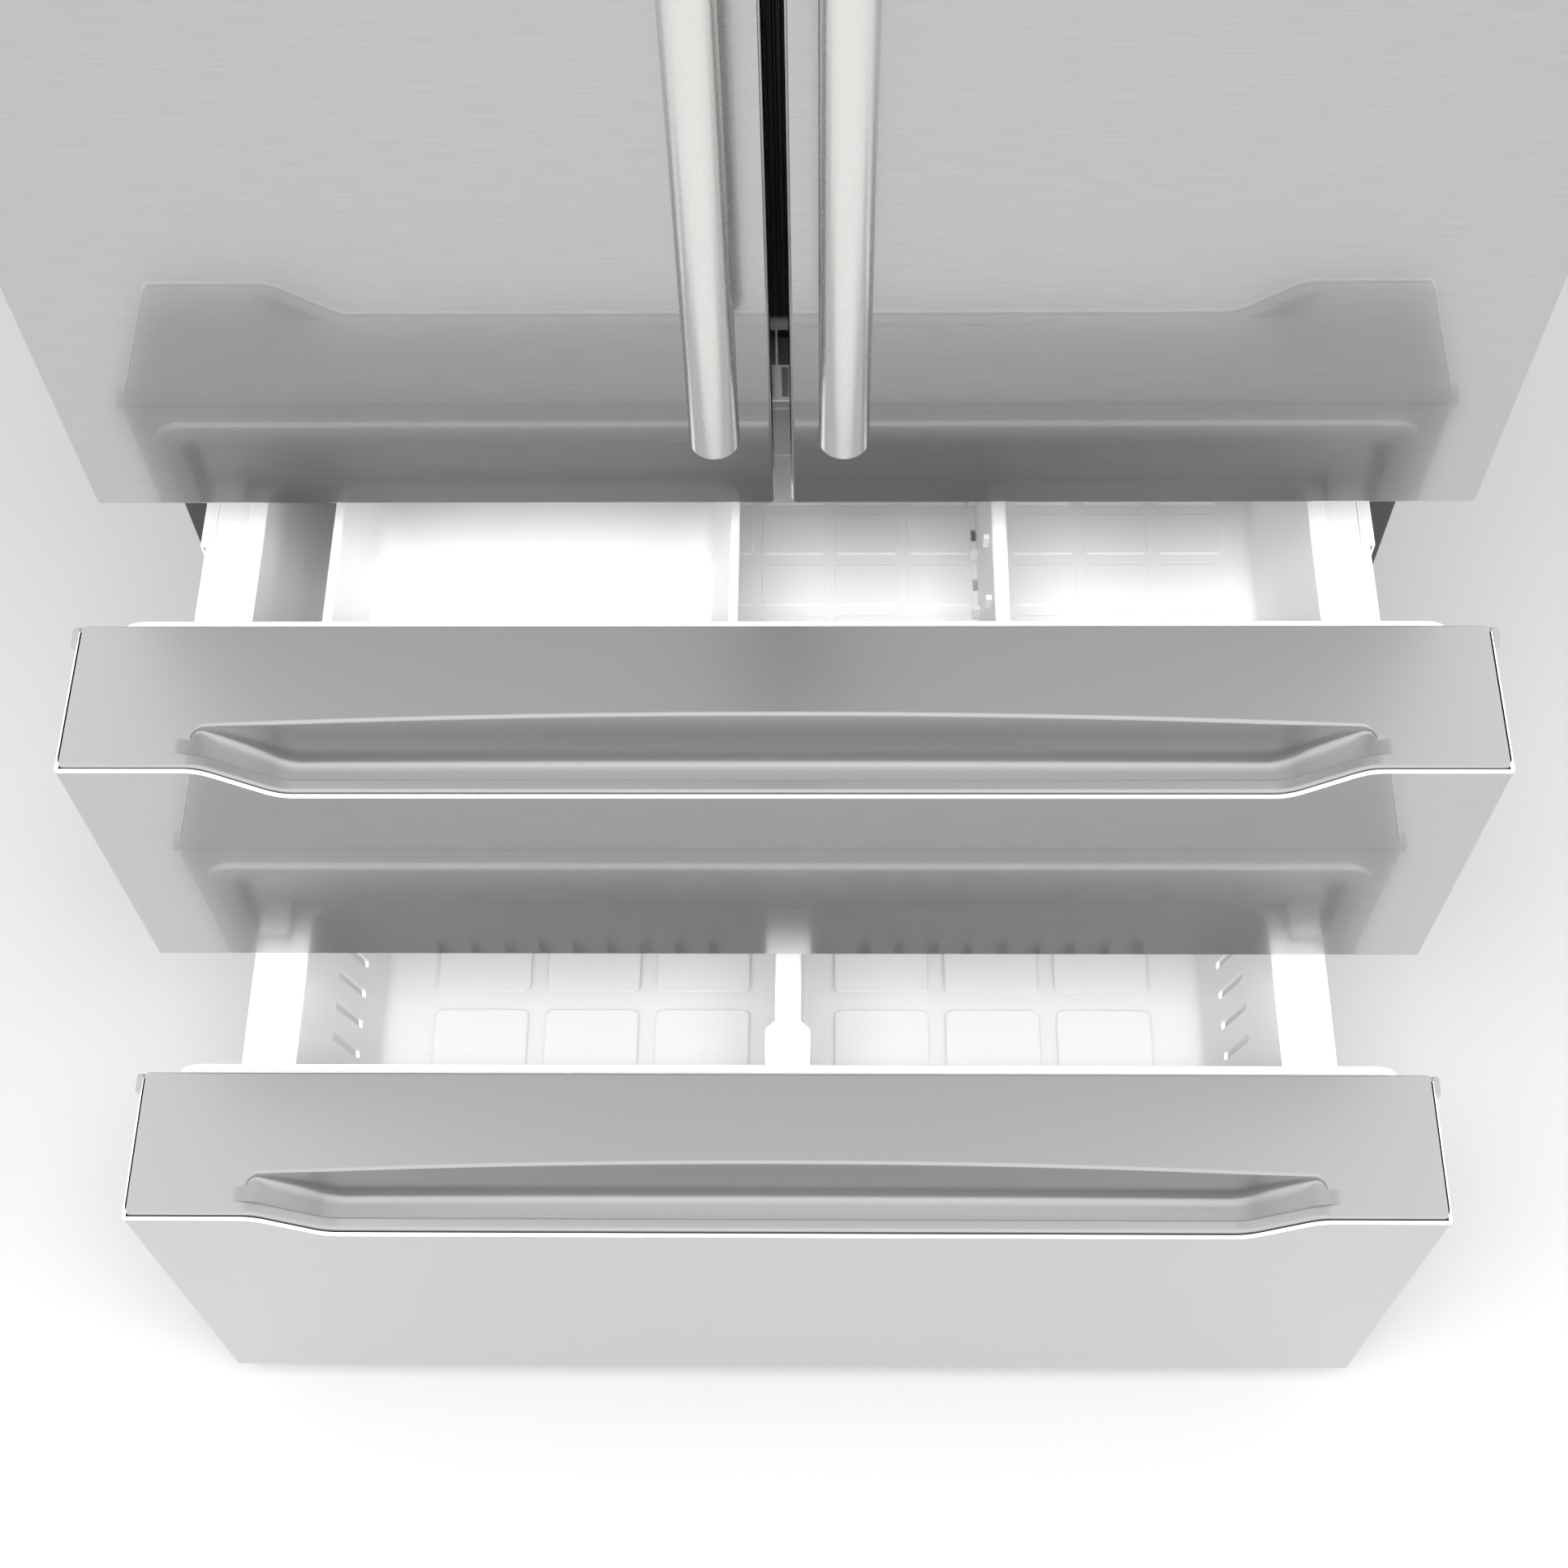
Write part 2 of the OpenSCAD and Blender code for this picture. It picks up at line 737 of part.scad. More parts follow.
module channel(u0, u1, half, z, y0, len) {
    web = 1.5;
    x1 = liner_half - u0;
    block([x1 - web, y0, z - half], [x1, y0 + len, z + half]);
    for (s = [z - half, z + half - web]) block([liner_half - u1, y0, s], [x1, y0 + len, s + web]);
}

module fixed_rails() {
    color(zinc) both_sides() for (rim = [upper_rim, lower_rim])
        channel(0, 12, rail_half, rim - rail_drop, rail_y, rail_len);
}

module mid_rails(rim, out) {
    color(zinc) both_sides() channel(3, 12.5, rail_half - 2.5, rim - rail_drop, rail_y - out / 2, rail_len);
}

// Inner rail with the bracket that carries the basket's rim
module runners(rim, out) {
    z = rim - rail_drop;
    half = rail_half - 5;
    y0 = rail_y - out;
    y_plate = door_y + basket_y - out;
    x_out = liner_half - 14;
    x_in = rim_half - rim_w + 3;
    color(zinc) both_sides() {
        channel(6, 14, half, z, y0, rail_len);
        block([x_out - 2, y_plate, z - half], [x_out, y0 + rail_len, rim - 3]);
        block([x_in, y_plate, rim - 6], [x_out, y0 + rail_len, rim - 3]);
        block([x_in, y_plate, z - half], [x_out, y_plate + 2, rim - 3]);
    }
}

module upper_mid_rails() {
    mid_rails(upper_rim, upper_out);
}

module lower_mid_rails() {
    mid_rails(lower_rim, lower_out);
}

module upper_runners() {
    runners(upper_rim, upper_out);
}

module lower_runners() {
    runners(lower_rim, lower_out);
}

// ---- doors, drawn on the right and mirrored for the left ----

module door_skin() {
    color(steel) skin(door_mid, front_half, door_y, door_z, door_top);
}

module door_core() {
    color(foam) skin_fill(door_mid, front_half, door_y, door_z + cap_t, door_top - cap_t);
}

module door_caps() {
    color(dark) difference() {
        union() {
            skin_fill(door_mid, front_half, door_y, door_z, door_z + cap_t);
            skin_fill(door_mid, front_half, door_y, door_top - cap_t, door_top);
        }
        translate([hinge_x, hinge_y, door_z - 1]) cylinder(r = pin_d / 2 + run_gap, h = 16);
        translate([hinge_x, hinge_y, door_top - 14]) cylinder(r = pin_d / 2 + run_gap, h = 15);
    }
}

module door_liner() {
    y1 = door_y + front_t;
    color(white) {
        block([door_mid, door_y + skin_d, door_z], [front_half, y1, door_top]);
        ring(dyke_in, dyke_out, dyke_z, dyke_top, dyke_t, y1, y1 + dyke_d);
    }
}

module door_gasket() {
    y1 = door_y + front_t;
    color(zinc) ring(door_mid + 2.6, front_half - seal_inset, door_z + door_seal_z, door_top - seal_inset_z,
                     seal_w, y1, y1 + seal_t);
}

module door_bins() {
    wall = 2.5;
    x0 = dyke_in + dyke_t;
    x1 = dyke_out - dyke_t;
    y0 = door_y + front_t;
    color(clear) for (z = [bin_low, bin_mid, bin_high]) difference() {
        block([x0, y0, z], [x1, y0 + bin_d, z + bin_h]);
        block([x0 + wall, y0 + wall, z + wall], [x1 - wall, y0 + bin_d - wall, z + bin_h + 1]);
    }
}

module handle() {
    y = door_y - handle_out;
    z0 = door_z + handle_up;
    post_r = 9;
    post_in = 60;
    color(steel) difference() {
        union() {
            translate([handle_x, y, z0]) cylinder(d = handle_d, h = handle_len);
            for (z = [z0 + post_in, z0 + handle_len - post_in])
                translate([handle_x, door_y, z]) rotate([90, 0, 0]) cylinder(r = post_r, h = handle_out);
        }
        translate([handle_x, y, z0 + 3]) cylinder(d = handle_d - 2 * handle_wall, h = handle_len - 6);
        for (z = [z0 + post_in, z0 + handle_len - post_in])
            translate([handle_x, door_y + 1, z]) rotate([90, 0, 0]) cylinder(r = 3, h = handle_out);
    }
}

module right_door_skin() {
    door_skin();
}

module right_door_core() {
    door_core();
}

module right_door_caps() {
    door_caps();
}

module right_door_liner() {
    door_liner();
}

module right_door_gasket() {
    door_gasket();
}

module right_door_bins() {
    door_bins();
}

module right_handle() {
    handle();
}

module left_door_skin() {
    mirror([1, 0, 0]) door_skin();
}

module left_door_core() {
    mirror([1, 0, 0]) door_core();
}

module left_door_caps() {
    mirror([1, 0, 0]) door_caps();
}

// The left liner also carries the two ears that the flipper mullion turns in
module left_door_liner() {
    y1 = door_y + front_t;
    mirror([1, 0, 0]) door_liner();
    color(white) for (z = [mullion_z - 5, mullion_top + 1]) difference() {
        block([-mullion_pin_x - 8, y1, z], [-mullion_pin_x + 6, mullion_pin_y + 6, z + 4]);
        translate([-mullion_pin_x, mullion_pin_y, z - 1]) cylinder(r = 2.5 + run_gap, h = 6);
    }
}

module left_door_gasket() {
    mirror([1, 0, 0]) door_gasket();
}

module left_door_bins() {
    mirror([1, 0, 0]) door_bins();
}

module left_handle() {
    mirror([1, 0, 0]) handle();
}

module flipper_mullion() {
    y0 = case_y + 0.5;
    color(black) {
        translate([0, 0, mullion_z]) linear_extrude(mullion_top - mullion_z)
            polygon([[-mullion_out, y0], [-mullion_in, y0], [-mullion_in - 6, y0 + mullion_d],
                     [-mullion_out, y0 + mullion_d]]);
        translate([-mullion_pin_x, mullion_pin_y, mullion_z - 5.5])
            cylinder(r = 2.5, h = mullion_top - mullion_z + 11);
    }
}

// ---- drawer fronts ----

module drawer_skin(y0, z0, z1) {
    color(steel) difference() {
        skin(-front_half, front_half, y0, z0, z1);
        trapezoid_cut(dip_top, dip_floor, z1, dip_h, y0 - 1, y0 + lip_t);
    }
}

// Hollow of the pocket grip: behind the lip and, above the dip, over it
module pocket_hollow(y0, z1) {
    r = (pow(pocket_end, 2) + pow(pocket_bow, 2)) / (2 * pocket_bow);
    intersection() {
        trapezoid_cut(pocket_end, dip_floor, z1, pocket_h, y0 + lip_t, y0 + pocket_back + 1);
        translate([0, y0 + pocket_back - r, z1 - pocket_h - 1]) cylinder(r = r, h = pocket_h + 8, $fn = 720);
    }
    trapezoid_cut(dip_top, dip_floor, z1, dip_h, y0 - 1, y0 + lip_t + 0.1);
}

// Outside of the pocket's tub, below the top plate
module pocket_tub(y0, z1) {
    wall = 3;
    trapezoid_cut(pocket_end + wall, dip_floor + wall, z1 - drawer_cap_t, pocket_h + wall - drawer_cap_t,
                  y0 + sheet, y0 + pocket_back + wall);
}

module drawer_caps(y0, z0, z1) {
    lug = 4;
    color(silver) {
        difference() {
            union() {
                skin_fill(-front_half, front_half, y0, z1 - drawer_cap_t, z1);
                block([-front_half, y0 + skin_d, z1 - drawer_cap_t], [front_half, y0 + front_t, z1]);
                intersection() {
                    pocket_tub(y0, z1);
                    block([-front_half, y0, z0], [front_half, y0 + front_t, z1 - drawer_cap_t]);
                }
                both_sides() {
                    block([front_half - 1, y0 + skin_d, z1 - 8], [front_half + lug, y0 + front_t - 1, z1]);
                    block([front_half, y0 + skin_d - 10, z1 - 8], [front_half + lug, y0 + skin_d, z1]);
                }
            }
            pocket_hollow(y0, z1);
        }
        skin_fill(-front_half, front_half, y0, z0, z0 + bottom_cap_t);
    }
}

// White inner panel with the foam that fills the front behind its skin
module drawer_inner_panel(y0, z0, z1) {
    y1 = y0 + front_t;
    edge = seal_inset + seal_w + 3;
    edge_z = seal_inset_z + seal_w + 4;
    color(white) difference() {
        union() {
            skin_fill(-front_half, front_half, y0, z0 + bottom_cap_t, z1 - drawer_cap_t);
            block([-front_half, y0 + skin_d, z0], [front_half, y1, z1 - drawer_cap_t]);
            block([-front_half + edge, y1, z0 + edge_z], [front_half - edge, y1 + panel_t, z1 - edge_z]);
        }
        pocket_tub(y0, z1);
        both_sides() block([front_half - 1, y0 + skin_d - 1, z1 - 8], [front_half + 1, y1 + 1, z1]);
    }
}

module drawer_gasket(y0, z0, z1) {
    color(white) ring(-front_half + seal_inset, front_half - seal_inset, z0 + seal_inset_z, z1 - seal_inset_z,
                      seal_w, y0 + front_t, y0 + front_t + seal_t);
}

module basket(y0, z0, rim, d) {
    y1 = y0 + basket_y;
    color(white) difference() {
        union() {
            block([-wall_half, y1, z0], [wall_half, y1 + d, rim]);
            block([-rim_half, y1, rim - 3], [rim_half, y1 + d, rim]);
        }
        block([-wall_half + basket_t, y1 + basket_t, z0 + basket_t],
              [wall_half - basket_t, y1 + d - basket_t, rim + 1]);
    }
}

module upper_skin() {
    drawer_skin(upper_y, upper_z, upper_top);
}

module upper_caps() {
    drawer_caps(upper_y, upper_z, upper_top);
}

module upper_inner_panel() {
    drawer_inner_panel(upper_y, upper_z, upper_top);
}

module upper_gasket() {
    drawer_gasket(upper_y, upper_z, upper_top);
}

module upper_basket() {
    basket(upper_y, upper_floor, upper_rim, upper_basket_d);
}

module lower_skin() {
    drawer_skin(lower_y, fronts_z, lower_top);
}

module lower_caps() {
    drawer_caps(lower_y, fronts_z, lower_top);
}

module lower_inner_panel() {
    drawer_inner_panel(lower_y, fronts_z, lower_top);
}

module lower_gasket() {
    drawer_gasket(lower_y, fronts_z, lower_top);
}

module lower_basket() {
    basket(lower_y, lower_floor, lower_rim, lower_basket_d);
}

// Upright plate from the front to the back of a basket, with a wide foot at its front
module divider(x, y0, z0, rim, d) {
    y1 = y0 + basket_y + basket_t;
    wide_half = 18;
    wide_len = 40;
    color(white) {
        block([x - divider_t / 2, y1, z0 + basket_t], [x + divider_t / 2, y1 + d - 2 * basket_t, rim - 4]);
        block([x - wide_half, y1, z0 + basket_t], [x + wide_half, y1 + wide_len, rim - 4]);
    }
}

module upper_divider() {
    divider(divider_x, upper_y, upper_floor, upper_rim, upper_basket_d);
}

module lower_divider() {
    divider(0, lower_y, lower_floor, lower_rim, lower_basket_d);
}

// Tray that hangs on the basket's front and back walls and slides sideways
module ice_tray() {
    wall = 2.5;
    y0 = upper_y + basket_y;
    y1 = y0 + upper_basket_d;
    in = basket_t + 1;
    color(white) {
        difference() {
            block([tray_left, y0 + in, upper_rim - tray_h], [tray_right, y1 - in, upper_rim + 3.5]);
            block([tray_left + wall, y0 + in + wall, upper_rim - tray_h + wall],
                  [tray_right - wall, y1 - in - wall, upper_rim + 5]);
        }
        for (y = [y0 + 0.2, y1 - in - 0.5])
            block([tray_left, y, upper_rim + 0.5], [tray_right, y + in + 0.3, upper_rim + 3.5]);
    }
}

// ---- what is drawn ----

outer_case();
back_panel();
base_frame();
insulation();
fridge_liner();
freezer_liner();
cross_rails();
mullion_catch();
door_hinges();
hinge_covers();
kick_grille();
compressor();
compressor_cover();
condenser();
fan_motor();
condenser_fan();
drip_pan();
cord_inlet();
shelf_frames();
shelf_glass();
crispers();
air_duct();
control_panel();
fixed_rails();
left_foot();
right_foot();
left_roller();
right_roller();
left_door_skin();
left_door_core();
left_door_liner();
left_door_caps();
left_door_gasket();
left_handle();
left_door_bins();
right_door_skin();
right_door_core();
right_door_liner();
right_door_caps();
right_door_gasket();
right_handle();
right_door_bins();
flipper_mullion();
upper_skin();
upper_caps();
upper_inner_panel();
upper_gasket();
upper_basket();
upper_divider();
ice_tray();
upper_mid_rails();
upper_runners();
lower_skin();
lower_caps();
lower_inner_panel();
lower_gasket();
lower_basket();
lower_divider();
lower_mid_rails();
lower_runners();
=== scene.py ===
"""French door refrigerator: the visible pieces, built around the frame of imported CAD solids.

The file is laid out as an add-on and is run as a script. Shape functions work in millimetres in
the CAD's own frame, and place() turns each finished shape to metres once.
"""

import math
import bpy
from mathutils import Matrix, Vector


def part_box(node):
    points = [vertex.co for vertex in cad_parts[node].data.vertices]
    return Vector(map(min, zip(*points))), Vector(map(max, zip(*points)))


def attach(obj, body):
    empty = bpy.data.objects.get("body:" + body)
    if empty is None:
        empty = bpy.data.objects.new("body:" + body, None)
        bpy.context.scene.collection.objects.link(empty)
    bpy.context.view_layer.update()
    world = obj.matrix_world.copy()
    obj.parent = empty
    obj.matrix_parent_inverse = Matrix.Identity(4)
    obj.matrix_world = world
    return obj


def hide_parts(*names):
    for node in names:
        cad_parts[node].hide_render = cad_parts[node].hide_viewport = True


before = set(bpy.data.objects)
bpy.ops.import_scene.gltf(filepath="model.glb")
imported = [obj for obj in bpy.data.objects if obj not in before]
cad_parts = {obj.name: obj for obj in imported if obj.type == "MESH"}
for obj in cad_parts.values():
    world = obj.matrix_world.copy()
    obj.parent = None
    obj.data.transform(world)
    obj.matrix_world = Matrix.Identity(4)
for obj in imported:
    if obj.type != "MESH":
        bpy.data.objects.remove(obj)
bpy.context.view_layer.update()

from types import SimpleNamespace

import bmesh
import bpy
from bpy.props import FloatProperty, FloatVectorProperty, IntProperty, PointerProperty
from mathutils import Matrix, Vector

bl_info = {
    "name": "French door refrigerator",
    "version": (1, 0, 0),
    "blender": (4, 5, 0),
    "location": "View3D > Sidebar > Refrigerator",
    "description": "Builds the visible pieces of a french door refrigerator around its CAD frame",
    "category": "Object",
}

MM = 0.001


# ---- settings -------------------------------------------------------------------------------


def length(name, description, default):
    """A property that holds a length in metres."""
    return FloatProperty(name=name, description=description, default=default, min=0.0, unit="LENGTH")


class FrontSizes(bpy.types.PropertyGroup):
    """Sizes of the steel fronts and of what closes them."""

    bend: length("Bend radius", "Outer radius of the steel's vertical bends", 0.0032)
    sheet: length("Sheet", "Thickness of the steel", 0.001)
    hem: length("Hem", "Depth of the steel's folded top edge", 0.0027)
    hem_round: length("Hem radius", "Radius at the front of the folded edges", 0.0012)
    corner: length("Front corner", "Radius of the fronts' corners seen from the front", 0.0035)
    seam: length("Seam", "Open seam between the steel's hem and the cap", 0.0009)
    cap_round: length("Cap radius", "Radius along the front edge of the drawer caps", 0.0035)
    dip_round: length("Dip rounding", "Half length of the round at each corner of the dip", 0.009)
    pocket_round: length("Pocket radius", "Radius between the pocket's rear wall and its floor", 0.009)
    pocket_end: length("Pocket end radius", "Radius of the pocket's ends in plan", 0.008)


class MouldingSizes(bpy.types.PropertyGroup):
    """Sizes of the moulded white pieces."""

    draft: length("Draft", "How far a basket's wall leans in from its rim to its floor", 0.012)
    corner: length("Corner", "Radius of a basket's upright corners", 0.022)
    fillet: length("Fillet", "Radius between a basket's walls and floor", 0.010)
    liner_corner: length("Liner corner", "Radius of the inner corners of the liners", 0.014)
    tray_corner: length("Tray corner", "Radius of the tray's upright corners", 0.018)
    tray_draft: length("Tray draft", "How far the tray's walls lean in", 0.016)
    slot_count: IntProperty(name="Front slots", default=9, min=1,
                            description="Slots in each half of the lower basket's front wall")
    side_slots: IntProperty(name="Side slots", default=11, min=1,
                            description="Leaned slots in each side wall of the lower basket")
    slot_pitch: length("Slot pitch", "Distance between the lower basket's slots", 0.027)


class StageSettings(bpy.types.PropertyGroup):
    """Camera and lights."""

    place: FloatVectorProperty(name="Camera", description="Where the camera stands", size=3,
                               subtype="TRANSLATION", unit="LENGTH", default=(0.025, -1.078, 1.9711))
    pitch: FloatProperty(name="Pitch", description="How far the camera looks down", subtype="ANGLE",
                         default=math.radians(60.95))
    heading: FloatProperty(name="Heading", description="How far the camera turns to the right",
                           subtype="ANGLE", default=math.radians(-1.862))
    roll: FloatProperty(name="Roll", description="Turn about the line of sight", subtype="ANGLE",
                        default=math.radians(1.604))
    lens: FloatProperty(name="Lens", description="Focal length for a 36 mm wide sensor, in mm",
                        default=54.0, min=10.0)
    sky: FloatProperty(name="Surroundings", description="Strength of the white surroundings", default=1.0,
                       min=0.0)


def linear(code):
    """Linear red, green, blue and alpha of an sRGB hex colour."""
    channels = [int(code[i:i + 2], 16) / 255 for i in (1, 3, 5)]
    return [c / 12.92 if c <= 0.04045 else ((c + 0.055) / 1.055) ** 2.4 for c in channels] + [1.0]


def colour(name, description, code):
    """A property that holds a linear colour, given as sRGB hex."""
    return FloatVectorProperty(name=name, description=description, size=4, min=0.0, max=1.0,
                               subtype="COLOR", default=linear(code))


class Colours(bpy.types.PropertyGroup):
    """Colours that a user would change."""

    steel: colour("Steel", "Brushed stainless sheet", "#B2B2B1")
    cap: colour("Caps", "Silver-painted caps of the drawers", "#C8C8C9")
    case: colour("Case", "Powder coat of the case", "#3A3A3B")
    white: colour("White", "White mouldings", "#F6F7F7")
    dark: colour("Dark", "Dark mouldings", "#262627")


def lengths(group):
    """The length settings of a property group, in millimetres."""
    settings = getattr(bpy.context.scene, group)
    values = {}
    for key in settings.bl_rna.properties.keys():
        value = getattr(settings, key)
        if isinstance(value, float):
            values[key] = value / MM
        elif isinstance(value, int):
            values[key] = value
    return SimpleNamespace(**values)


def span(node):
    """Lowest and highest corner of a CAD node, in millimetres."""
    low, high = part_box(node)
    return low / MM, high / MM


# ---- shapes ---------------------------------------------------------------------------------


def loft(bm, loops, closed=False, ends=True):
    """Faces between successive loops of points. Closed joins the last loop to the first."""
    rings = [[bm.verts.new(p) for p in loop] for loop in loops]
    pairs = list(zip(rings, rings[1:]))
    if closed:
        pairs.append((rings[-1], rings[0]))
    for a, b in pairs:
        for i in range(len(a)):
            j = (i + 1) % len(a)
            bm.faces.new((a[i], a[j], b[j], b[i]))
    if ends and not closed:
        bm.faces.new(rings[0])
        bm.faces.new(rings[-1])


def filleted(corners, n=4, closed=True):
    """Points of an outline whose corners (a, b, radius) are rounded, always the same number of them."""
    points = []
    last = len(corners) - 1
    for i, (a, b, radius) in enumerate(corners):
        here = Vector((a, b))
        if radius <= 0 or (not closed and i in (0, last)):
            points.append(here)
            continue
        before = Vector(corners[i - 1][:2]) - here
        after = Vector(corners[(i + 1) % len(corners)][:2]) - here
        cut = 0.0
        if before.length > 1e-6 and after.length > 1e-6:
            half_angle = max(before.angle(after) / 2, 0.05)
            cut = min(radius / math.tan(half_angle), before.length / 2, after.length / 2)
        start = here + (before.normalized() * cut if cut else Vector((0, 0)))
        end = here + (after.normalized() * cut if cut else Vector((0, 0)))
        for k in range(n + 1):
            s = k / n
            points.append(start * (1 - s) ** 2 + here * (2 * s * (1 - s)) + end * s ** 2)
    return [(p.x, p.y) for p in points]


def rounded(a0, a1, b0, b1, radius, n=6):
    """Points of a rounded rectangle, anticlockwise."""
    r = max(min(radius, (a1 - a0) / 2 - 0.01, (b1 - b0) / 2 - 0.01), 0.01)
    centres = ((a1 - r, b0 + r, -90), (a1 - r, b1 - r, 0), (a0 + r, b1 - r, 90), (a0 + r, b0 + r, 180))
    points = []
    for ca, cb, start in centres:
        for k in range(n + 1):
            turn = math.radians(start + 90 * k / n)
            points.append((ca + r * math.cos(turn), cb + r * math.sin(turn)))
    return points


def on_axes(points, axes, third):
    """3-D points from 2-D ones that lie on the two named axes, at one value of the third axis."""
    order = {axes[0]: 0, axes[1]: 1}
    return [tuple(p[order[k]] if k in order else third for k in "xyz") for p in points]


def extrude(bm, outline, axes, low, high):
    """A closed prism: its outline lies on two axes, and it runs from low to high on the third."""
    loft(bm, [on_axes(outline, axes, low), on_axes(outline, axes, high)])


def soft_plate(bm, rect, axes, low, high, radius, edge, n=6):
    """A plate with round corners, whose edge on the high side is rounded too."""
    a0, a1, b0, b1 = rect
    step = 1 if high > low else -1
    steps = [(0.0, low), (0.0, high - step * edge)]
    for k in range(1, 5):
        turn = math.pi / 2 * k / 4
        steps.append((edge * (1 - math.cos(turn)), high - step * edge * (1 - math.sin(turn))))
    loops = []
    for inset, level in steps:
        outline = rounded(a0 + inset, a1 - inset, b0 + inset, b1 - inset, radius - inset, n)
        loops.append(on_axes(outline, axes, level))
    loft(bm, loops)


def brick(bm, low, high, edge=1.0):
    """A block with all its edges rounded."""
    made = bmesh.ops.create_cube(bm, size=1.0)["verts"]
    for v in made:
        v.co = Vector([high[i] if v.co[i] > 0 else low[i] for i in range(3)])
    edges = {e for v in made for e in v.link_edges}
    bmesh.ops.bevel(bm, geom=list(edges), offset=edge, segments=3, profile=0.5, affect="EDGES")


def turned(bm, centre, profile, axis="z", n=64):
    """A lathed solid: profile holds (radius, distance along the axis from the centre)."""
    turns = [2 * math.pi * k / n for k in range(n)]
    for_axis = {
        "x": lambda r, h, c, s: (h, r * c, r * s),
        "y": lambda r, h, c, s: (r * c, h, r * s),
        "z": lambda r, h, c, s: (r * c, r * s, h),
    }[axis]
    loops = []
    for r, h in profile:
        loops.append([Vector(centre) + Vector(for_axis(r, h, math.cos(t), math.sin(t))) for t in turns])
    loft(bm, loops)


def mirrored(points, side):
    """Points swapped to the other side of the middle when side is -1."""
    return [(side * p[0], *p[1:]) for p in points]


# ---- from shape to piece --------------------------------------------------------------------


def draft_object(bm, name):
    """A temporary object in metres from a shape in millimetres."""
    bmesh.ops.remove_doubles(bm, verts=bm.verts, dist=1e-4)
    bmesh.ops.dissolve_degenerate(bm, edges=bm.edges, dist=1e-4)
    mesh = bpy.data.meshes.new(name)
    bm.to_mesh(mesh)
    bm.free()
    mesh.transform(Matrix.Scale(MM, 4))
    mesh.shade_smooth()
    draft = bpy.data.objects.new(name, mesh)
    bpy.context.scene.collection.objects.link(draft)
    return draft


def plain_mesh(draft, name):
    """The evaluated mesh of a draft, whose modifiers and object go."""
    depsgraph = bpy.context.evaluated_depsgraph_get()
    mesh = bpy.data.meshes.new_from_object(draft.evaluated_get(depsgraph))
    bpy.data.objects.remove(draft)
    mesh.name = name
    return mesh


def place(name, bm, finish, body, slot=None, nodes=(), edge=0.0, cutters=None, wall=0.0, sure=True):
    """Makes a piece: rounds its edges, cuts its openings, evens its shading and rides it on its body."""
    if sure:
        bmesh.ops.remove_doubles(bm, verts=bm.verts, dist=1e-4)
        bmesh.ops.recalc_face_normals(bm, faces=bm.faces)
    draft = draft_object(bm, name + "_draft")
    knife = None
    if wall:
        solid = draft.modifiers.new("wall", "SOLIDIFY")
        solid.thickness = wall * MM
        solid.offset = 1.0
        solid.use_even_offset = True
    if cutters is not None:
        bmesh.ops.recalc_face_normals(cutters, faces=cutters.faces)
        knife = draft_object(cutters, name + "_cutters")
        cut = draft.modifiers.new("openings", "BOOLEAN")
        cut.operation = "DIFFERENCE"
        cut.solver = "EXACT"
        cut.object = knife
    if edge:
        bevel = draft.modifiers.new("edges", "BEVEL")
        bevel.width = edge * MM
        bevel.segments = 3
        bevel.limit_method = "ANGLE"
        bevel.angle_limit = math.radians(40)
        bevel.miter_outer = "MITER_ARC"
    mesh = plain_mesh(draft, name + "_shape")
    if knife:
        bpy.data.objects.remove(knife)
    mesh.set_sharp_from_angle(angle=math.radians(40))
    shaded = bpy.data.objects.new(name + "_shaded", mesh)
    bpy.context.scene.collection.objects.link(shaded)
    shading = shaded.modifiers.new("shading", "WEIGHTED_NORMAL")
    shading.weight = 90
    shading.keep_sharp = True
    mesh = plain_mesh(shaded, name)
    mesh.materials.clear()
    mesh.materials.append(material(finish))
    piece = bpy.data.objects.new(name, mesh)
    bpy.context.scene.collection.objects.link(piece)
    if nodes:
        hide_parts(*nodes)
    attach(piece, body)
    slot or finish
    return piece


def node_copy(node):
    """A CAD node's shape in millimetres, with its corners merged and its flat faces joined."""
    bm = bmesh.new()
    bm.from_mesh(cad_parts[node].data)
    bmesh.ops.scale(bm, vec=(1 / MM,) * 3, verts=bm.verts)
    bmesh.ops.remove_doubles(bm, verts=bm.verts, dist=1e-3)
    bmesh.ops.dissolve_limit(bm, angle_limit=math.radians(0.4), verts=bm.verts, edges=bm.edges)
    return bm


def softened(node, finish, body, edge=0.8, slot=None):
    """A piece with a CAD node's shape and rounded edges."""
    return place(node + "_finished", node_copy(node), finish, body, slot, (node,), edge, sure=False)


def keep(node, finish):
    """Leaves a CAD node as it is and gives it its finish."""
    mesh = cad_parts[node].data
    mesh.materials.clear()
    mesh.materials.append(material(finish))


# ---- node trees -----------------------------------------------------------------------------


def add_node(tree, kind, inputs=None, **settings):
    """Adds a node, sets its properties, and sets or links its inputs."""
    made = tree.nodes.new(kind)
    for key, value in settings.items():
        setattr(made, key, value)
    for key, value in (inputs or {}).items():
        if isinstance(value, bpy.types.NodeSocket):
            tree.links.new(value, made.inputs[key])
        else:
            made.inputs[key].default_value = value
    return made


def geometry_tree(name, inputs):
    """An empty geometry tree with named inputs, and its input node."""
    tree = bpy.data.node_groups.new(name, "GeometryNodeTree")
    tree.interface.new_socket("Geometry", in_out="OUTPUT", socket_type="NodeSocketGeometry")
    for label, kind in inputs:
        tree.interface.new_socket(label, in_out="INPUT", socket_type="NodeSocket" + kind)
    return tree, add_node(tree, "NodeGroupInput").outputs


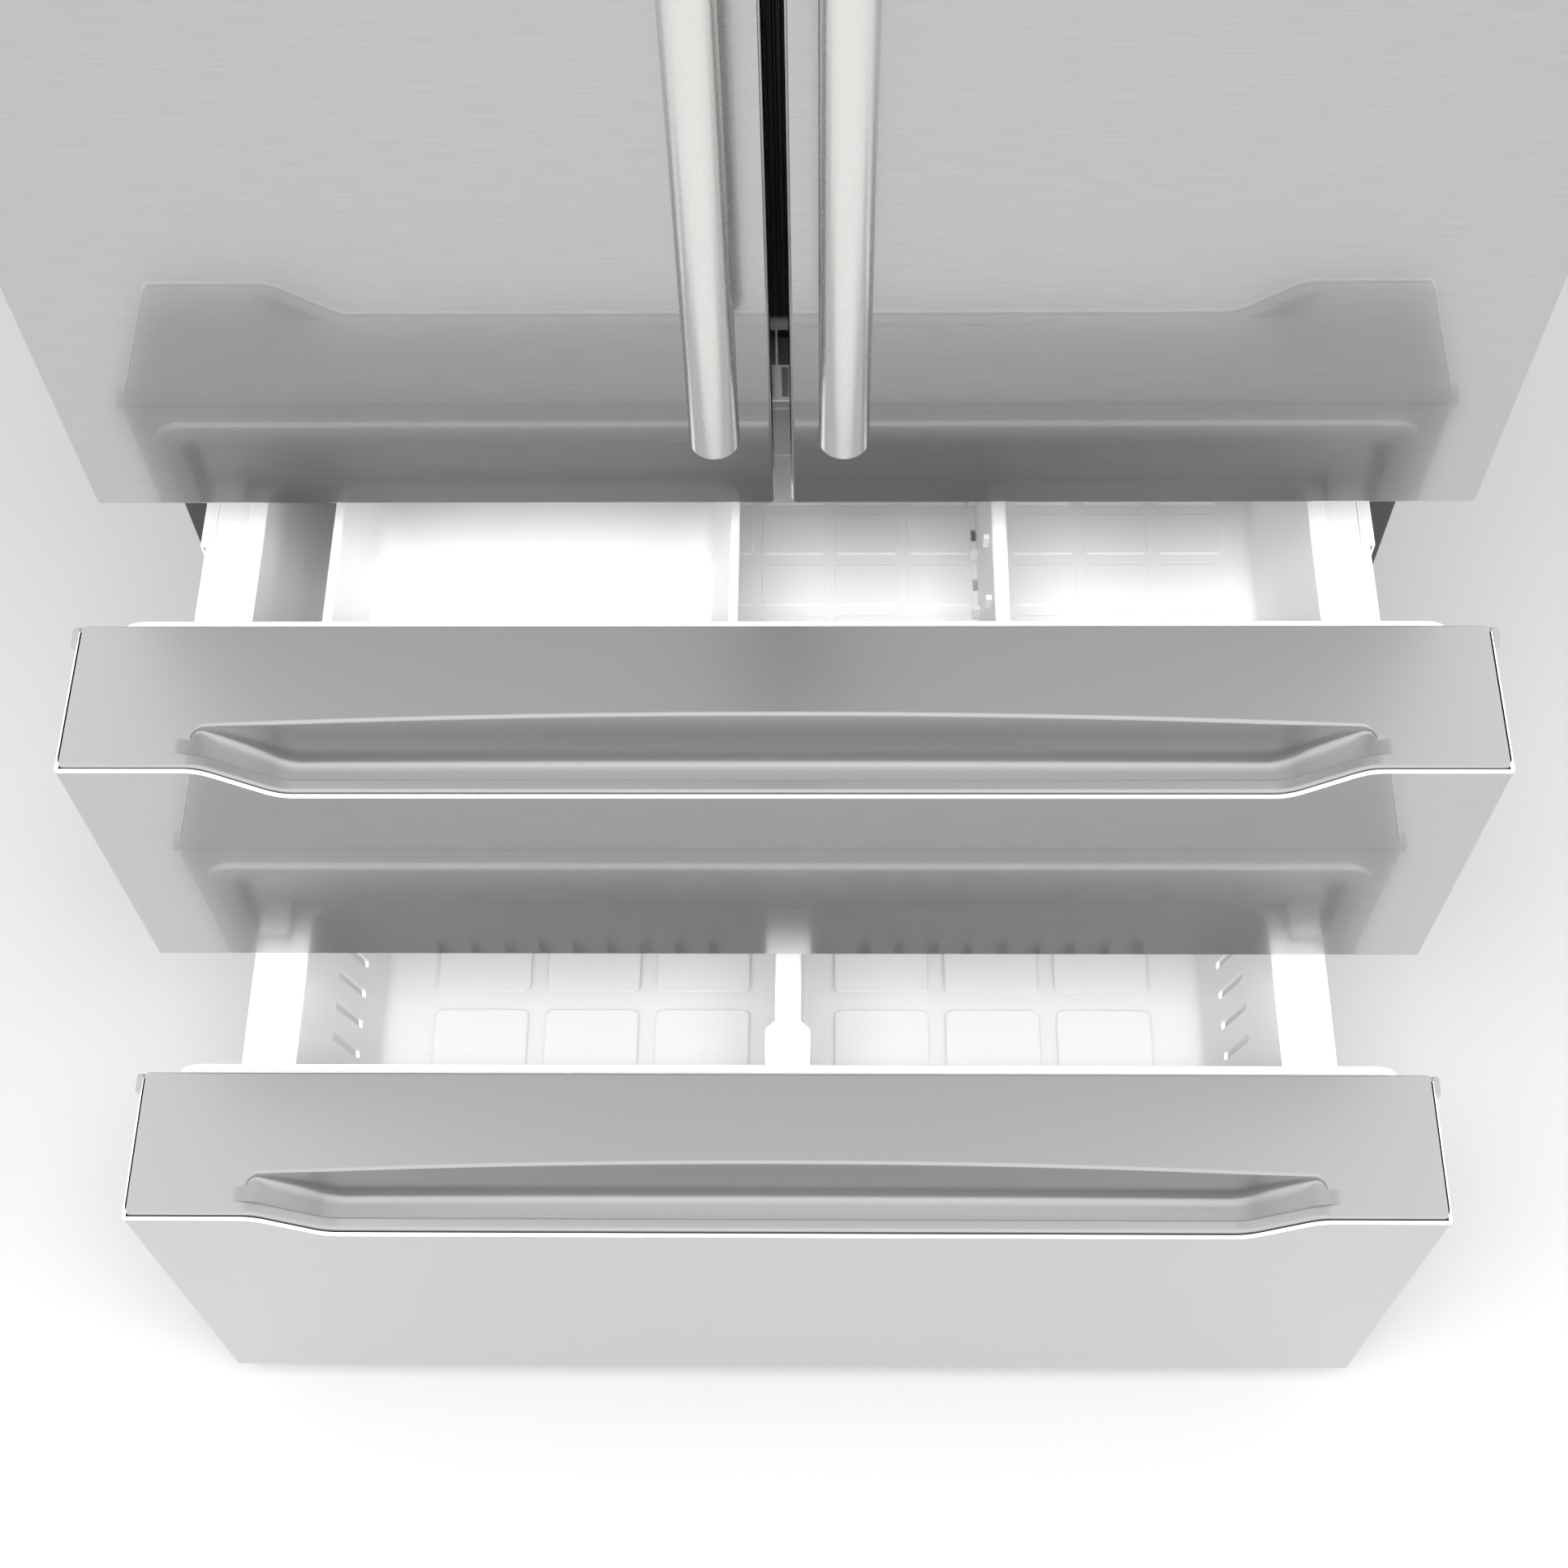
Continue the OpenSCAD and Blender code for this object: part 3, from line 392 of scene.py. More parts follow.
def close_tree(tree, points, shape, turn, given):
    """Puts a shape on every point, then ends the tree in Realize Instances and Set Material."""
    copies = add_node(tree, "GeometryNodeInstanceOnPoints", {
        "Points": points, "Instance": shape, "Rotation": turn})
    real = add_node(tree, "GeometryNodeRealizeInstances", {"Geometry": copies.outputs["Instances"]})
    done = add_node(tree, "GeometryNodeSetMaterial", {
        "Geometry": real.outputs["Geometry"], "Material": given["Material"]})
    add_node(tree, "NodeGroupOutput", {"Geometry": done.outputs["Geometry"]})
    return tree


def row_inputs(*more):
    """The inputs that every row has, and those of one kind of row."""
    return [("Count", "Int"), ("Start", "Vector"), ("Step", "Vector"), *more, ("Material", "Material")]


def row_points(tree, given):
    """A line of points."""
    line = add_node(tree, "GeometryNodeMeshLine", {
        "Count": given["Count"], "Start Location": given["Start"], "Offset": given["Step"]}, mode="OFFSET")
    return line.outputs["Mesh"]


def screw_tree():
    """A row of domed screw heads."""
    tree, given = geometry_tree("screw_row", row_inputs(
        ("Radius", "Float"), ("Height", "Float"), ("Turn", "Rotation")))
    crown = add_node(tree, "ShaderNodeMath", {0: given["Radius"], 1: 0.55}, operation="MULTIPLY")
    head = add_node(tree, "GeometryNodeMeshCone", {
        "Vertices": 20, "Radius Bottom": given["Radius"], "Radius Top": crown.outputs[0],
        "Depth": given["Height"]})
    return close_tree(tree, row_points(tree, given), head.outputs["Mesh"], given["Turn"], given)


def bar_tree():
    """A row of straight bars, such as slats, fins and pressed ribs."""
    tree, given = geometry_tree("bar_row", row_inputs(("Size", "Vector")))
    bar = add_node(tree, "GeometryNodeMeshCube", {"Size": given["Size"]})
    return close_tree(tree, row_points(tree, given), bar.outputs["Mesh"], (0, 0, 0), given)


def pad_tree():
    """A grid of raised pads with round corners, which lie on XY."""
    tree, given = geometry_tree("pad_grid", [
        ("Columns", "Int"), ("Rows", "Int"), ("Span", "Vector"), ("Middle", "Vector"), ("Length", "Float"),
        ("Width", "Float"), ("Corner", "Float"), ("Rise", "Float"), ("Material", "Material")])
    sides = add_node(tree, "ShaderNodeSeparateXYZ", {"Vector": given["Span"]}).outputs
    grid = add_node(tree, "GeometryNodeMeshGrid", {
        "Size X": sides["X"], "Size Y": sides["Y"], "Vertices X": given["Columns"],
        "Vertices Y": given["Rows"]})
    moved = add_node(tree, "GeometryNodeTransform", {
        "Geometry": grid.outputs["Mesh"], "Translation": given["Middle"]})
    outline = add_node(tree, "GeometryNodeCurvePrimitiveQuadrilateral", {
        "Width": given["Length"], "Height": given["Width"]})
    soft = add_node(tree, "GeometryNodeFilletCurve", {
        "Curve": outline.outputs["Curve"], "Count": 4, "Radius": given["Corner"]}, mode="POLY")
    face = add_node(tree, "GeometryNodeFillCurve", {"Curve": soft.outputs["Curve"]}, mode="NGONS")
    raised = add_node(tree, "GeometryNodeExtrudeMesh", {
        "Mesh": face.outputs["Mesh"], "Offset Scale": given["Rise"]})
    slope = add_node(tree, "GeometryNodeScaleElements", {
        "Geometry": raised.outputs["Mesh"], "Selection": raised.outputs["Top"], "Scale": 0.94})
    under = add_node(tree, "GeometryNodeFlipFaces", {"Mesh": face.outputs["Mesh"]})
    both = add_node(tree, "GeometryNodeJoinGeometry")
    tree.links.new(under.outputs["Mesh"], both.inputs[0])
    tree.links.new(slope.outputs["Geometry"], both.inputs[0])
    whole = add_node(tree, "GeometryNodeMergeByDistance", {"Geometry": both.outputs["Geometry"]})
    return close_tree(tree, moved.outputs["Geometry"], whole.outputs["Geometry"], (0, 0, 0), given)


def grow(bm, tree, finish, **values):
    """Adds to a shape what a geometry tree makes from these inputs, as a plain mesh."""
    holder = bpy.data.objects.new("holder", bpy.data.meshes.new("holder"))
    bpy.context.scene.collection.objects.link(holder)
    modifier = holder.modifiers.new("shape", "NODES")
    modifier.node_group = tree
    values["Material"] = material(finish)
    for item in tree.interface.items_tree:
        if item.in_out == "INPUT" and item.name in values:
            modifier[item.identifier] = values[item.name]
    bm.from_mesh(plain_mesh(holder, "grown"))


# ---- finishes -------------------------------------------------------------------------------


def principled(name, base, **inputs):
    """A material, its tree and its shader, with constants set on the shader's own sockets."""
    made = bpy.data.materials.new(name + "_finish")
    made.use_nodes = True
    tree = made.node_tree
    shader = tree.nodes["Principled BSDF"]
    shader.inputs["Base Color"].default_value = base if len(base) == 4 else (*base, 1.0)
    for key, value in inputs.items():
        shader.inputs[key.replace("_", " ")].default_value = value
    return made, tree, shader


def pattern(tree, sizes, detail=2.0, kind="ShaderNodeTexNoise", output="Fac", **settings):
    """A pattern on Object coordinates whose features have these sizes in mm along X, Y and Z."""
    where = add_node(tree, "ShaderNodeTexCoord").outputs["Object"]
    scale = [1 / (s * MM) for s in sizes]
    mapped = add_node(tree, "ShaderNodeMapping", {"Vector": where, "Scale": scale})
    inputs = {"Vector": mapped.outputs["Vector"], "Scale": 1.0}
    if kind == "ShaderNodeTexNoise":
        inputs["Detail"] = detail
    return add_node(tree, kind, inputs, **settings).outputs[output]


def vary_colour(tree, shader, amount, by):
    """Darkens and lightens the base colour by a pattern."""
    base = shader.inputs["Base Color"].default_value
    low = [c * (1 - by) for c in base[:3]] + [1.0]
    high = [min(c * (1 + by), 1.0) for c in base[:3]] + [1.0]
    # of a colour mix, inputs 0, 6 and 7 are the factor and the two colours, and output 2 is the result
    mix = add_node(tree, "ShaderNodeMix", {0: amount, 6: low, 7: high}, data_type="RGBA")
    tree.links.new(mix.outputs[2], shader.inputs["Base Color"])


def vary_roughness(tree, shader, amount, low, high):
    """Spreads the roughness between two values by a pattern."""
    spread = add_node(tree, "ShaderNodeMapRange", {"Value": amount, "To Min": low, "To Max": high})
    tree.links.new(spread.outputs["Result"], shader.inputs["Roughness"])


def bump(tree, shader, amount, depth, strength=1.0):
    """Bump of this depth in mm from a pattern."""
    raised = add_node(tree, "ShaderNodeBump", {"Height": amount, "Distance": depth * MM,
                                               "Strength": strength})
    tree.links.new(raised.outputs["Normal"], shader.inputs["Normal"])


def brushed_stainless(c):
    """Stainless sheet, belt-brushed along its width: streaked, soft reflections under a clear coat."""
    made, tree, shader = principled("brushed_stainless", c.steel, Metallic=1.0, Roughness=0.2,
                                    Coat_Weight=0.8, Coat_Roughness=0.03, Coat_IOR=1.7)
    # real grain lines are 0.1 mm apart, drawn 0.9 mm apart so that they show
    grain = pattern(tree, (28, 28, 0.9), 3.0)
    vary_colour(tree, shader, grain, 0.13)
    vary_roughness(tree, shader, grain, 0.15, 0.25)
    bump(tree, shader, grain, 0.004)
    return made


def hem_painted_highlight(c):
    """Folded edge of the sheet in a pale near-white satin: a painted highlight where the rounded edge
    catches the light.
    """
    made, tree, shader = principled("hem_painted_highlight", linear("#FAFAFA"), Metallic=0.15, Roughness=0.35)
    grain = pattern(tree, (40, 40, 0.8), 2.0)
    vary_roughness(tree, shader, grain, 0.3, 0.42)
    return made


def ground_stainless(c):
    """Stainless tube, ground round its girth: bright bands broken up by short streaks."""
    made, tree, shader = principled("ground_stainless", linear("#DAD9D7"), Metallic=1.0, Roughness=0.26)
    # real grinding marks are finer, drawn 1.2 by 4 mm so that they show
    grain = pattern(tree, (1.2, 1.2, 4.0), 3.0)
    vary_colour(tree, shader, grain, 0.07)
    vary_roughness(tree, shader, grain, 0.18, 0.32)
    bump(tree, shader, grain, 0.012)
    return made


def silver_cap(c):
    """ABS moulding under silver paint: even grey with a soft sheen."""
    made, tree, shader = principled("silver_cap", c.cap, Metallic=0.92, Roughness=0.3,
                                    Coat_Weight=0.2, Coat_Roughness=0.2)
    flakes = pattern(tree, (0.9, 0.9, 0.9), 2.0)
    vary_colour(tree, shader, flakes, 0.03)
    vary_roughness(tree, shader, flakes, 0.30, 0.40)
    return made


def case_paint(c):
    """Steel under a fine-textured powder coat: dull, with an orange-peel grain."""
    made, tree, shader = principled("case_paint", c.case, Roughness=0.5)
    peel = pattern(tree, (1.6, 1.6, 1.6), 2.0)
    vary_colour(tree, shader, peel, 0.05)
    vary_roughness(tree, shader, peel, 0.42, 0.58)
    bump(tree, shader, peel, 0.05)
    return made


def coated_steel(c):
    """Steel slides under a thin white epoxy coat."""
    made, tree, shader = principled("coated_steel", linear("#F0F1F1"), Roughness=0.35, Coat_Weight=0.3)
    peel = pattern(tree, (2.2, 2.2, 2.2), 2.0)
    vary_roughness(tree, shader, peel, 0.3, 0.42)
    bump(tree, shader, peel, 0.03)
    return made


def zinc_steel(c):
    """Hot-dip galvanised steel: crystals of slightly different greys."""
    made, tree, shader = principled("zinc_steel", linear("#B4B6B8"), Metallic=1.0, Roughness=0.42)
    spangle = pattern(tree, (9, 9, 9), kind="ShaderNodeTexVoronoi", output="Color")
    grey = add_node(tree, "ShaderNodeSeparateColor", {"Color": spangle}).outputs[0]
    vary_colour(tree, shader, grey, 0.12)
    vary_roughness(tree, shader, grey, 0.34, 0.5)
    return made


def liner_white(c):
    """Vacuum-formed high-impact polystyrene: glossy white that waves a little."""
    made, tree, shader = principled("liner_white", c.white, Roughness=0.28, IOR=1.58)
    wave = pattern(tree, (60, 60, 60), 1.0)
    vary_roughness(tree, shader, wave, 0.22, 0.34)
    bump(tree, shader, wave, 0.25)
    return made


def white_plastic(c):
    """Injection-moulded polystyrene with an eroded, satin surface."""
    made, tree, shader = principled("white_plastic", c.white, Roughness=0.36, IOR=1.58)
    grain = pattern(tree, (1.1, 1.1, 1.1), 2.0)
    vary_roughness(tree, shader, grain, 0.3, 0.44)
    bump(tree, shader, grain, 0.02)
    return made


def dark_plastic(c):
    """Injection-moulded dark ABS with a fine spark-eroded grain."""
    made, tree, shader = principled("dark_plastic", c.dark, Roughness=0.48, IOR=1.54)
    grain = pattern(tree, (0.9, 0.9, 0.9), 2.0)
    vary_colour(tree, shader, grain, 0.08)
    vary_roughness(tree, shader, grain, 0.4, 0.56)
    bump(tree, shader, grain, 0.04)
    return made


def grey_plastic(c):
    """Injection-moulded acetal in light grey, slightly waxy."""
    made, tree, shader = principled("grey_plastic", linear("#BDBEBF"), Roughness=0.4, IOR=1.48)
    grain = pattern(tree, (1.5, 1.5, 1.5), 2.0)
    vary_roughness(tree, shader, grain, 0.34, 0.46)
    bump(tree, shader, grain, 0.02)
    return made


def clear_plastic(c):
    """Clear moulded polystyrene with a faint blue cast."""
    made, tree, shader = principled("clear_plastic", linear("#EAF3F5"), Roughness=0.06, IOR=1.59,
                                    Transmission_Weight=0.92)
    flow = pattern(tree, (40, 40, 40), 1.0)
    bump(tree, shader, flow, 0.15)
    return made


def shelf_glass(c):
    """Tempered soda-lime glass, faintly green."""
    made, tree, shader = principled("shelf_glass", linear("#DDF0EA"), Roughness=0.02, IOR=1.52,
                                    Transmission_Weight=0.95)
    roll = pattern(tree, (120, 120, 120), 1.0)
    bump(tree, shader, roll, 0.05)
    return made


def rubber(name, code):
    """Soft plasticised PVC: matt with a slight skin."""
    made, tree, shader = principled(name, linear(code), Roughness=0.6, IOR=1.53)
    skin = pattern(tree, (2.5, 2.5, 2.5), 2.0)
    vary_colour(tree, shader, skin, 0.03)
    vary_roughness(tree, shader, skin, 0.52, 0.7)
    bump(tree, shader, skin, 0.03)
    return made


def foam(c):
    """Polyurethane foam: pale yellow with open cells."""
    made, tree, shader = principled("foam", linear("#E8D9A8"), Roughness=0.9)
    cells = pattern(tree, (3, 3, 3), kind="ShaderNodeTexVoronoi", output="Distance")
    vary_colour(tree, shader, cells, 0.1)
    bump(tree, shader, cells, 0.6)
    return made


def black_enamel(c):
    """Stove enamel on steel: deep gloss black."""
    made, tree, shader = principled("black_enamel", linear("#17181A"), Roughness=0.3, Coat_Weight=0.6,
                                    Coat_Roughness=0.08)
    peel = pattern(tree, (5, 5, 5), 1.0)
    bump(tree, shader, peel, 0.06)
    vary_roughness(tree, shader, peel, 0.25, 0.36)
    return made


def fin_aluminium(c):
    """Mill-finish aluminium strip with faint rolling lines."""
    made, tree, shader = principled("fin_aluminium", linear("#C9CBCE"), Metallic=1.0, Roughness=0.35)
    lines = pattern(tree, (1.0, 60, 1.0), 2.0)
    vary_colour(tree, shader, lines, 0.06)
    vary_roughness(tree, shader, lines, 0.28, 0.42)
    return made


def tyre_nylon(c):
    """Moulded black nylon, worn dull where it rolls."""
    made, tree, shader = principled("tyre_nylon", linear("#222223"), Roughness=0.55, IOR=1.53)
    wear = pattern(tree, (6, 6, 6), 3.0)
    vary_colour(tree, shader, wear, 0.2)
    vary_roughness(tree, shader, wear, 0.45, 0.7)
    return made


FINISHES = {
    "brushed_stainless": brushed_stainless,
    "hem_painted_highlight": hem_painted_highlight,
    "ground_stainless": ground_stainless,
    "silver_cap": silver_cap,
    "case_paint": case_paint,
    "coated_steel": coated_steel,
    "zinc_steel": zinc_steel,
    "liner_white": liner_white,
    "white_plastic": white_plastic,
    "dark_plastic": dark_plastic,
    "grey_plastic": grey_plastic,
    "clear_plastic": clear_plastic,
    "shelf_glass": shelf_glass,
    "gasket_grey": lambda c: rubber("gasket_grey", "#8E8F90"),
    "gasket_white": lambda c: rubber("gasket_white", "#ECECEB"),
    "foam": foam,
    "black_enamel": black_enamel,
    "fin_aluminium": fin_aluminium,
    "tyre_nylon": tyre_nylon,
}


def material(name):
    """The finish of this name, made once."""
    return bpy.data.materials.get(name + "_finish") or FINISHES[name](bpy.context.scene.fridge_colours)


# ---- fronts ---------------------------------------------------------------------------------


# The dip in a drawer's top edge and the pocket grip behind it, in mm from the middle or the steel's face.
DIP = SimpleNamespace(
    depth=32.5,
    half_top=365.0,  # where the dip starts
    half_floor=320.0,  # where it has its full depth
    half_pocket=372.0,  # the pocket's end at its top
    lip=13.6,  # the rear of the cap's front wall
    pocket=51.0,  # depth of the pocket
    back=42.5,  # the pocket's rear edge, at the middle
    bow=9.5,  # how far that edge comes forward at its ends
    rear=109.0,  # the rear of the whole front
)


def dip_line(x, top, depth, half_top, soft):
    """Height of a line with a shallow dip in its middle, whose four corners are rounded."""
    run = half_top - DIP.half_floor
    t = abs(x) - DIP.half_floor
    if t < -soft:
        rise = 0.0
    elif t < soft:
        rise = (t + soft) ** 2 / (4 * soft)
    elif t < run - soft:
        rise = t
    elif t < run + soft:
        rise = run - (run - t + soft) ** 2 / (4 * soft)
    else:
        rise = run
    return top - depth + rise * depth / run


CAP_CORNER = 4.0  # radius of a drawer cap's corners, in mm
SKIN_GAP = 0.2  # clearance between the steel and what closes it, in mm


def front_stations(x0, x1, y0, depth, bend, xs):
    """Points in plan and inward normals, from the left rear edge round the front to the right one."""
    steps = 8
    stations = [(x0, y0 + depth, 1.0, 0.0)]
    for k in range(steps + 1):
        turn = math.pi / 2 * k / steps
        c, s = math.cos(turn), math.sin(turn)
        stations.append((x0 + bend - bend * c, y0 + bend - bend * s, c, s))
    stations += [(x, y0, 0.0, 1.0) for x in xs]
    for k in range(steps, -1, -1):
        turn = math.pi / 2 * k / steps
        c, s = math.cos(turn), math.sin(turn)
        stations.append((x1 - bend + bend * c, y0 + bend - bend * s, -c, s))
    stations.append((x1, y0 + depth, -1.0, 0.0))
    return stations


def corner_rise(x, x0, x1, radius):
    """How far the edge of a front lies inside its rectangle where its corners are round."""
    inside = min(x - x0, x1 - x)
    if inside >= radius:
        return 0.0
    return radius - math.sqrt(max(radius ** 2 - (radius - inside) ** 2, 0.0))


def folded_skin(bm, x0, x1, y0, z0, z1, depth, xs, top_line=None):
    """Sheet bent round a front and its sides, with hems along its top and bottom."""
    s = lengths("fridge_fronts")
    fold = 2.2
    loops = []
    for x, y, nx, ny in front_stations(x0, x1, y0, depth, s.bend, xs):
        rise = corner_rise(x, x0, x1, s.corner)
        low = z0 + rise
        top = top_line(x) if top_line else z1 - rise
        section = filleted([
            (s.hem, low, 0), (0, low, s.hem_round), (0, top, s.hem_round), (s.hem, top, 0.4),
            (s.hem, top - fold, 0), (s.sheet, top - fold, 0), (s.sheet, low + fold, 0),
            (s.hem, low + fold, 0)])
        loops.append([(x + nx * o, y + ny * o, z) for o, z in section])
    loft(bm, loops)


def end_cap(bm, x0, x1, y0, z_out, z_in, depth):
    """Moulding that closes the top or bottom of a front, just inside its skin."""
    s = lengths("fridge_fronts")
    gap = s.sheet + SKIN_GAP
    way = 1 if z_in > z_out else -1
    outer, inner = [], []
    for x, y, nx, ny in front_stations(x0, x1, y0, depth, s.bend, []):
        rise = corner_rise(x, x0, x1, s.corner)
        here = (x + nx * gap, y + ny * gap)
        outer.append((*here, z_out + way * (rise + 0.6)))
        inner.append((*here, z_in))
    loft(bm, [outer, inner])


def gasket_ring(bm, rect, y0, y1):
    """Magnetic gasket: a clipped foot, a thin bellows and a soft head, run round a rectangle."""
    x0, x1, z0, z1 = rect
    width, deep = 18.0, y1 - y0
    section = filleted([
        (1.5, 0, 0), (1.5, 0.22 * deep, 0.4), (4.5, 0.3 * deep, 0.6), (4.5, 0.42 * deep, 0.6),
        (0, 0.5 * deep, 1.2), (0, 0.92 * deep, 1.6), (3, deep, 1.6), (width - 3, deep, 1.6),
        (width, 0.92 * deep, 1.6), (width, 0.5 * deep, 1.2), (width - 4.5, 0.42 * deep, 0.6),
        (width - 4.5, 0.3 * deep, 0.6), (width - 1.5, 0.22 * deep, 0.4), (width - 1.5, 0, 0)], n=3)
    loops = []
    for inset, rise in section:
        outline = rounded(x0 + inset, x1 - inset, z0 + inset, z1 - inset, 20 - inset, 5)
        loops.append(on_axes(outline, "xz", y0 + rise))
    loft(bm, loops, closed=True)


def raised_panel(bm, rect, y0, y1, radius, slope):
    """A formed panel that rises from y0 to y1 with sloping, softened sides."""
    x0, x1, z0, z1 = rect
    loops = []
    for inset, y in filleted([(0, y0, 0), (slope, y1, 3), (slope + 12, y1, 0)], closed=False):
        outline = rounded(x0 + inset, x1 - inset, z0 + inset, z1 - inset, radius, 6)
        loops.append(on_axes(outline, "xz", y))
    loft(bm, loops)


def drawer_xs(half, soft):
    """Places across a drawer front, close together where its dip bends."""
    xs = []
    for centre in (DIP.half_floor, DIP.half_top, DIP.half_pocket):
        xs += [centre + soft * k / 4 for k in range(-4, 5)]
    xs += [DIP.half_floor * k / 8 for k in range(8)]
    xs += [(DIP.half_floor + DIP.half_top) / 2, half - 12, half - 6]
    both = sorted({round(x, 3) for x in xs} | {-round(x, 3) for x in xs})
    return [x for x in both if abs(x) < half - 4]


def cap_profile(x, half, y0, z1, s):
    """Section of a drawer's cap at one place across it, as (y, z) points."""
    y_rear = y0 + DIP.rear
    lip_top = dip_line(x, z1, DIP.depth, DIP.half_top, s.dip_round)
    pocket = min(dip_line(x, z1, DIP.pocket, DIP.half_pocket, s.dip_round), lip_top)
    # the pocket's rear wall is bowed at its top and straighter at its foot
    bow = DIP.back - DIP.bow * (x / DIP.half_pocket) ** 2
    deep = min((z1 - pocket) / DIP.pocket, 1.0)
    low_back = bow + (DIP.back - DIP.bow / 2 - bow) * deep
    past = abs(x) - (DIP.half_pocket - s.pocket_end)
    if past > 0:
        end = s.pocket_end - math.sqrt(max(s.pocket_end ** 2 - min(past, s.pocket_end) ** 2, 0))
        bow -= end
        low_back -= end
    inset = corner_rise(x, -half, half, CAP_CORNER)
    front = y0 + s.hem + s.seam + inset
    lip_back, back, foot = y0 + DIP.lip, y0 + bow, y0 + low_back
    floor = min(pocket, lip_top - 2) - 3
    return filleted([
        (front, floor, 0), (front, lip_top, s.cap_round), (lip_back, lip_top, 1.6),
        (lip_back, pocket, 3.0), (foot, pocket, s.pocket_round), (back, z1, 2.4),
        (y_rear - inset, z1, 2.0), (y_rear - inset, z1 - 5, 0), (back + 3, z1 - 5, 0),
        (back + 3, floor, 0)], n=5)


DRAWERS = {
    "upper": ("upper_drawer", "upper_skin", "upper_caps", "upper_inner_panel", "upper_gasket"),
    "lower": ("lower_drawer", "lower_skin", "lower_caps", "lower_inner_panel", "lower_gasket"),
}


def make_drawer_front(which):
    """Skin, cap with pocket grip, inner panel and gasket of one drawer front."""
    body, skin, caps, panel, gasket = DRAWERS[which]
    s = lengths("fridge_fronts")
    low, high = span(skin)
    half, y0, z0, z1 = high.x, low.y, low.z, high.z
    depth = high.y - low.y
    xs = drawer_xs(half, s.dip_round)

    bm = bmesh.new()
    folded_skin(bm, -half, half, y0, z0, z1, depth, xs,
                lambda x: dip_line(x, z1, DIP.depth, DIP.half_top, s.dip_round))
    front = place(which + "_steel_front", bm, "brushed_stainless", body, None, (skin,))
    # the upward faces of the top hem get a near-white finish: a painted highlight of the light that the
    # rounded edge catches
    front.data.materials.append(material("hem_painted_highlight"))
    for face in front.data.polygons:
        if face.normal.z > 0.35 and face.center.z > (z1 - DIP.depth - 3) * MM:
            face.material_index = 1

    bm = bmesh.new()
    inner = half - s.sheet - SKIN_GAP
    edge_xs = [inner - CAP_CORNER * (1 - math.cos(math.pi / 2 * k / 5)) for k in range(6)]
    loops = []
    for x in sorted(set(xs) | set(edge_xs) | {-x for x in edge_xs}):
        loops.append([(x, y, z) for y, z in cap_profile(x, inner, y0, z1, s)])
    loft(bm, loops)
    lug_tip = span(caps)[1].x
    for side in (-1, 1):
        a, b = sorted((side * (half - 2), side * lug_tip))
        brick(bm, (a, y0 + depth - 10, z1 - 8), (b, y0 + DIP.rear - 1, z1), 1.8)
    end_cap(bm, -half, half, y0, z0, z0 + 12, depth)
    place(which + "_grip_cap", bm, "silver_cap", body, None, (caps,))

    rear = y0 + DIP.rear
    bm = bmesh.new()
    brick(bm, (-half, y0 + depth - 1, z0 + 0.4), (half, rear, z1 - 3), 1.6)
    raised_panel(bm, (-half + 39, half - 39, z0 + 34, z1 - 34), rear - 0.5, span(panel)[1].y, 14, 7)
    place(which + "_formed_panel", bm, "liner_white", body, None, (panel,))

    low, high = span(gasket)
    bm = bmesh.new()
    gasket_ring(bm, (low.x, high.x, low.z, high.z), low.y, high.y)
    place(which + "_magnetic_gasket", bm, "gasket_white", body, None, (gasket,))


BIN_FLOORS = (800, 1080, 1360)
BIN_HEIGHT = 95
DYKE = SimpleNamespace(thick=12, foot=750.4, head=1690.0, corner=26)


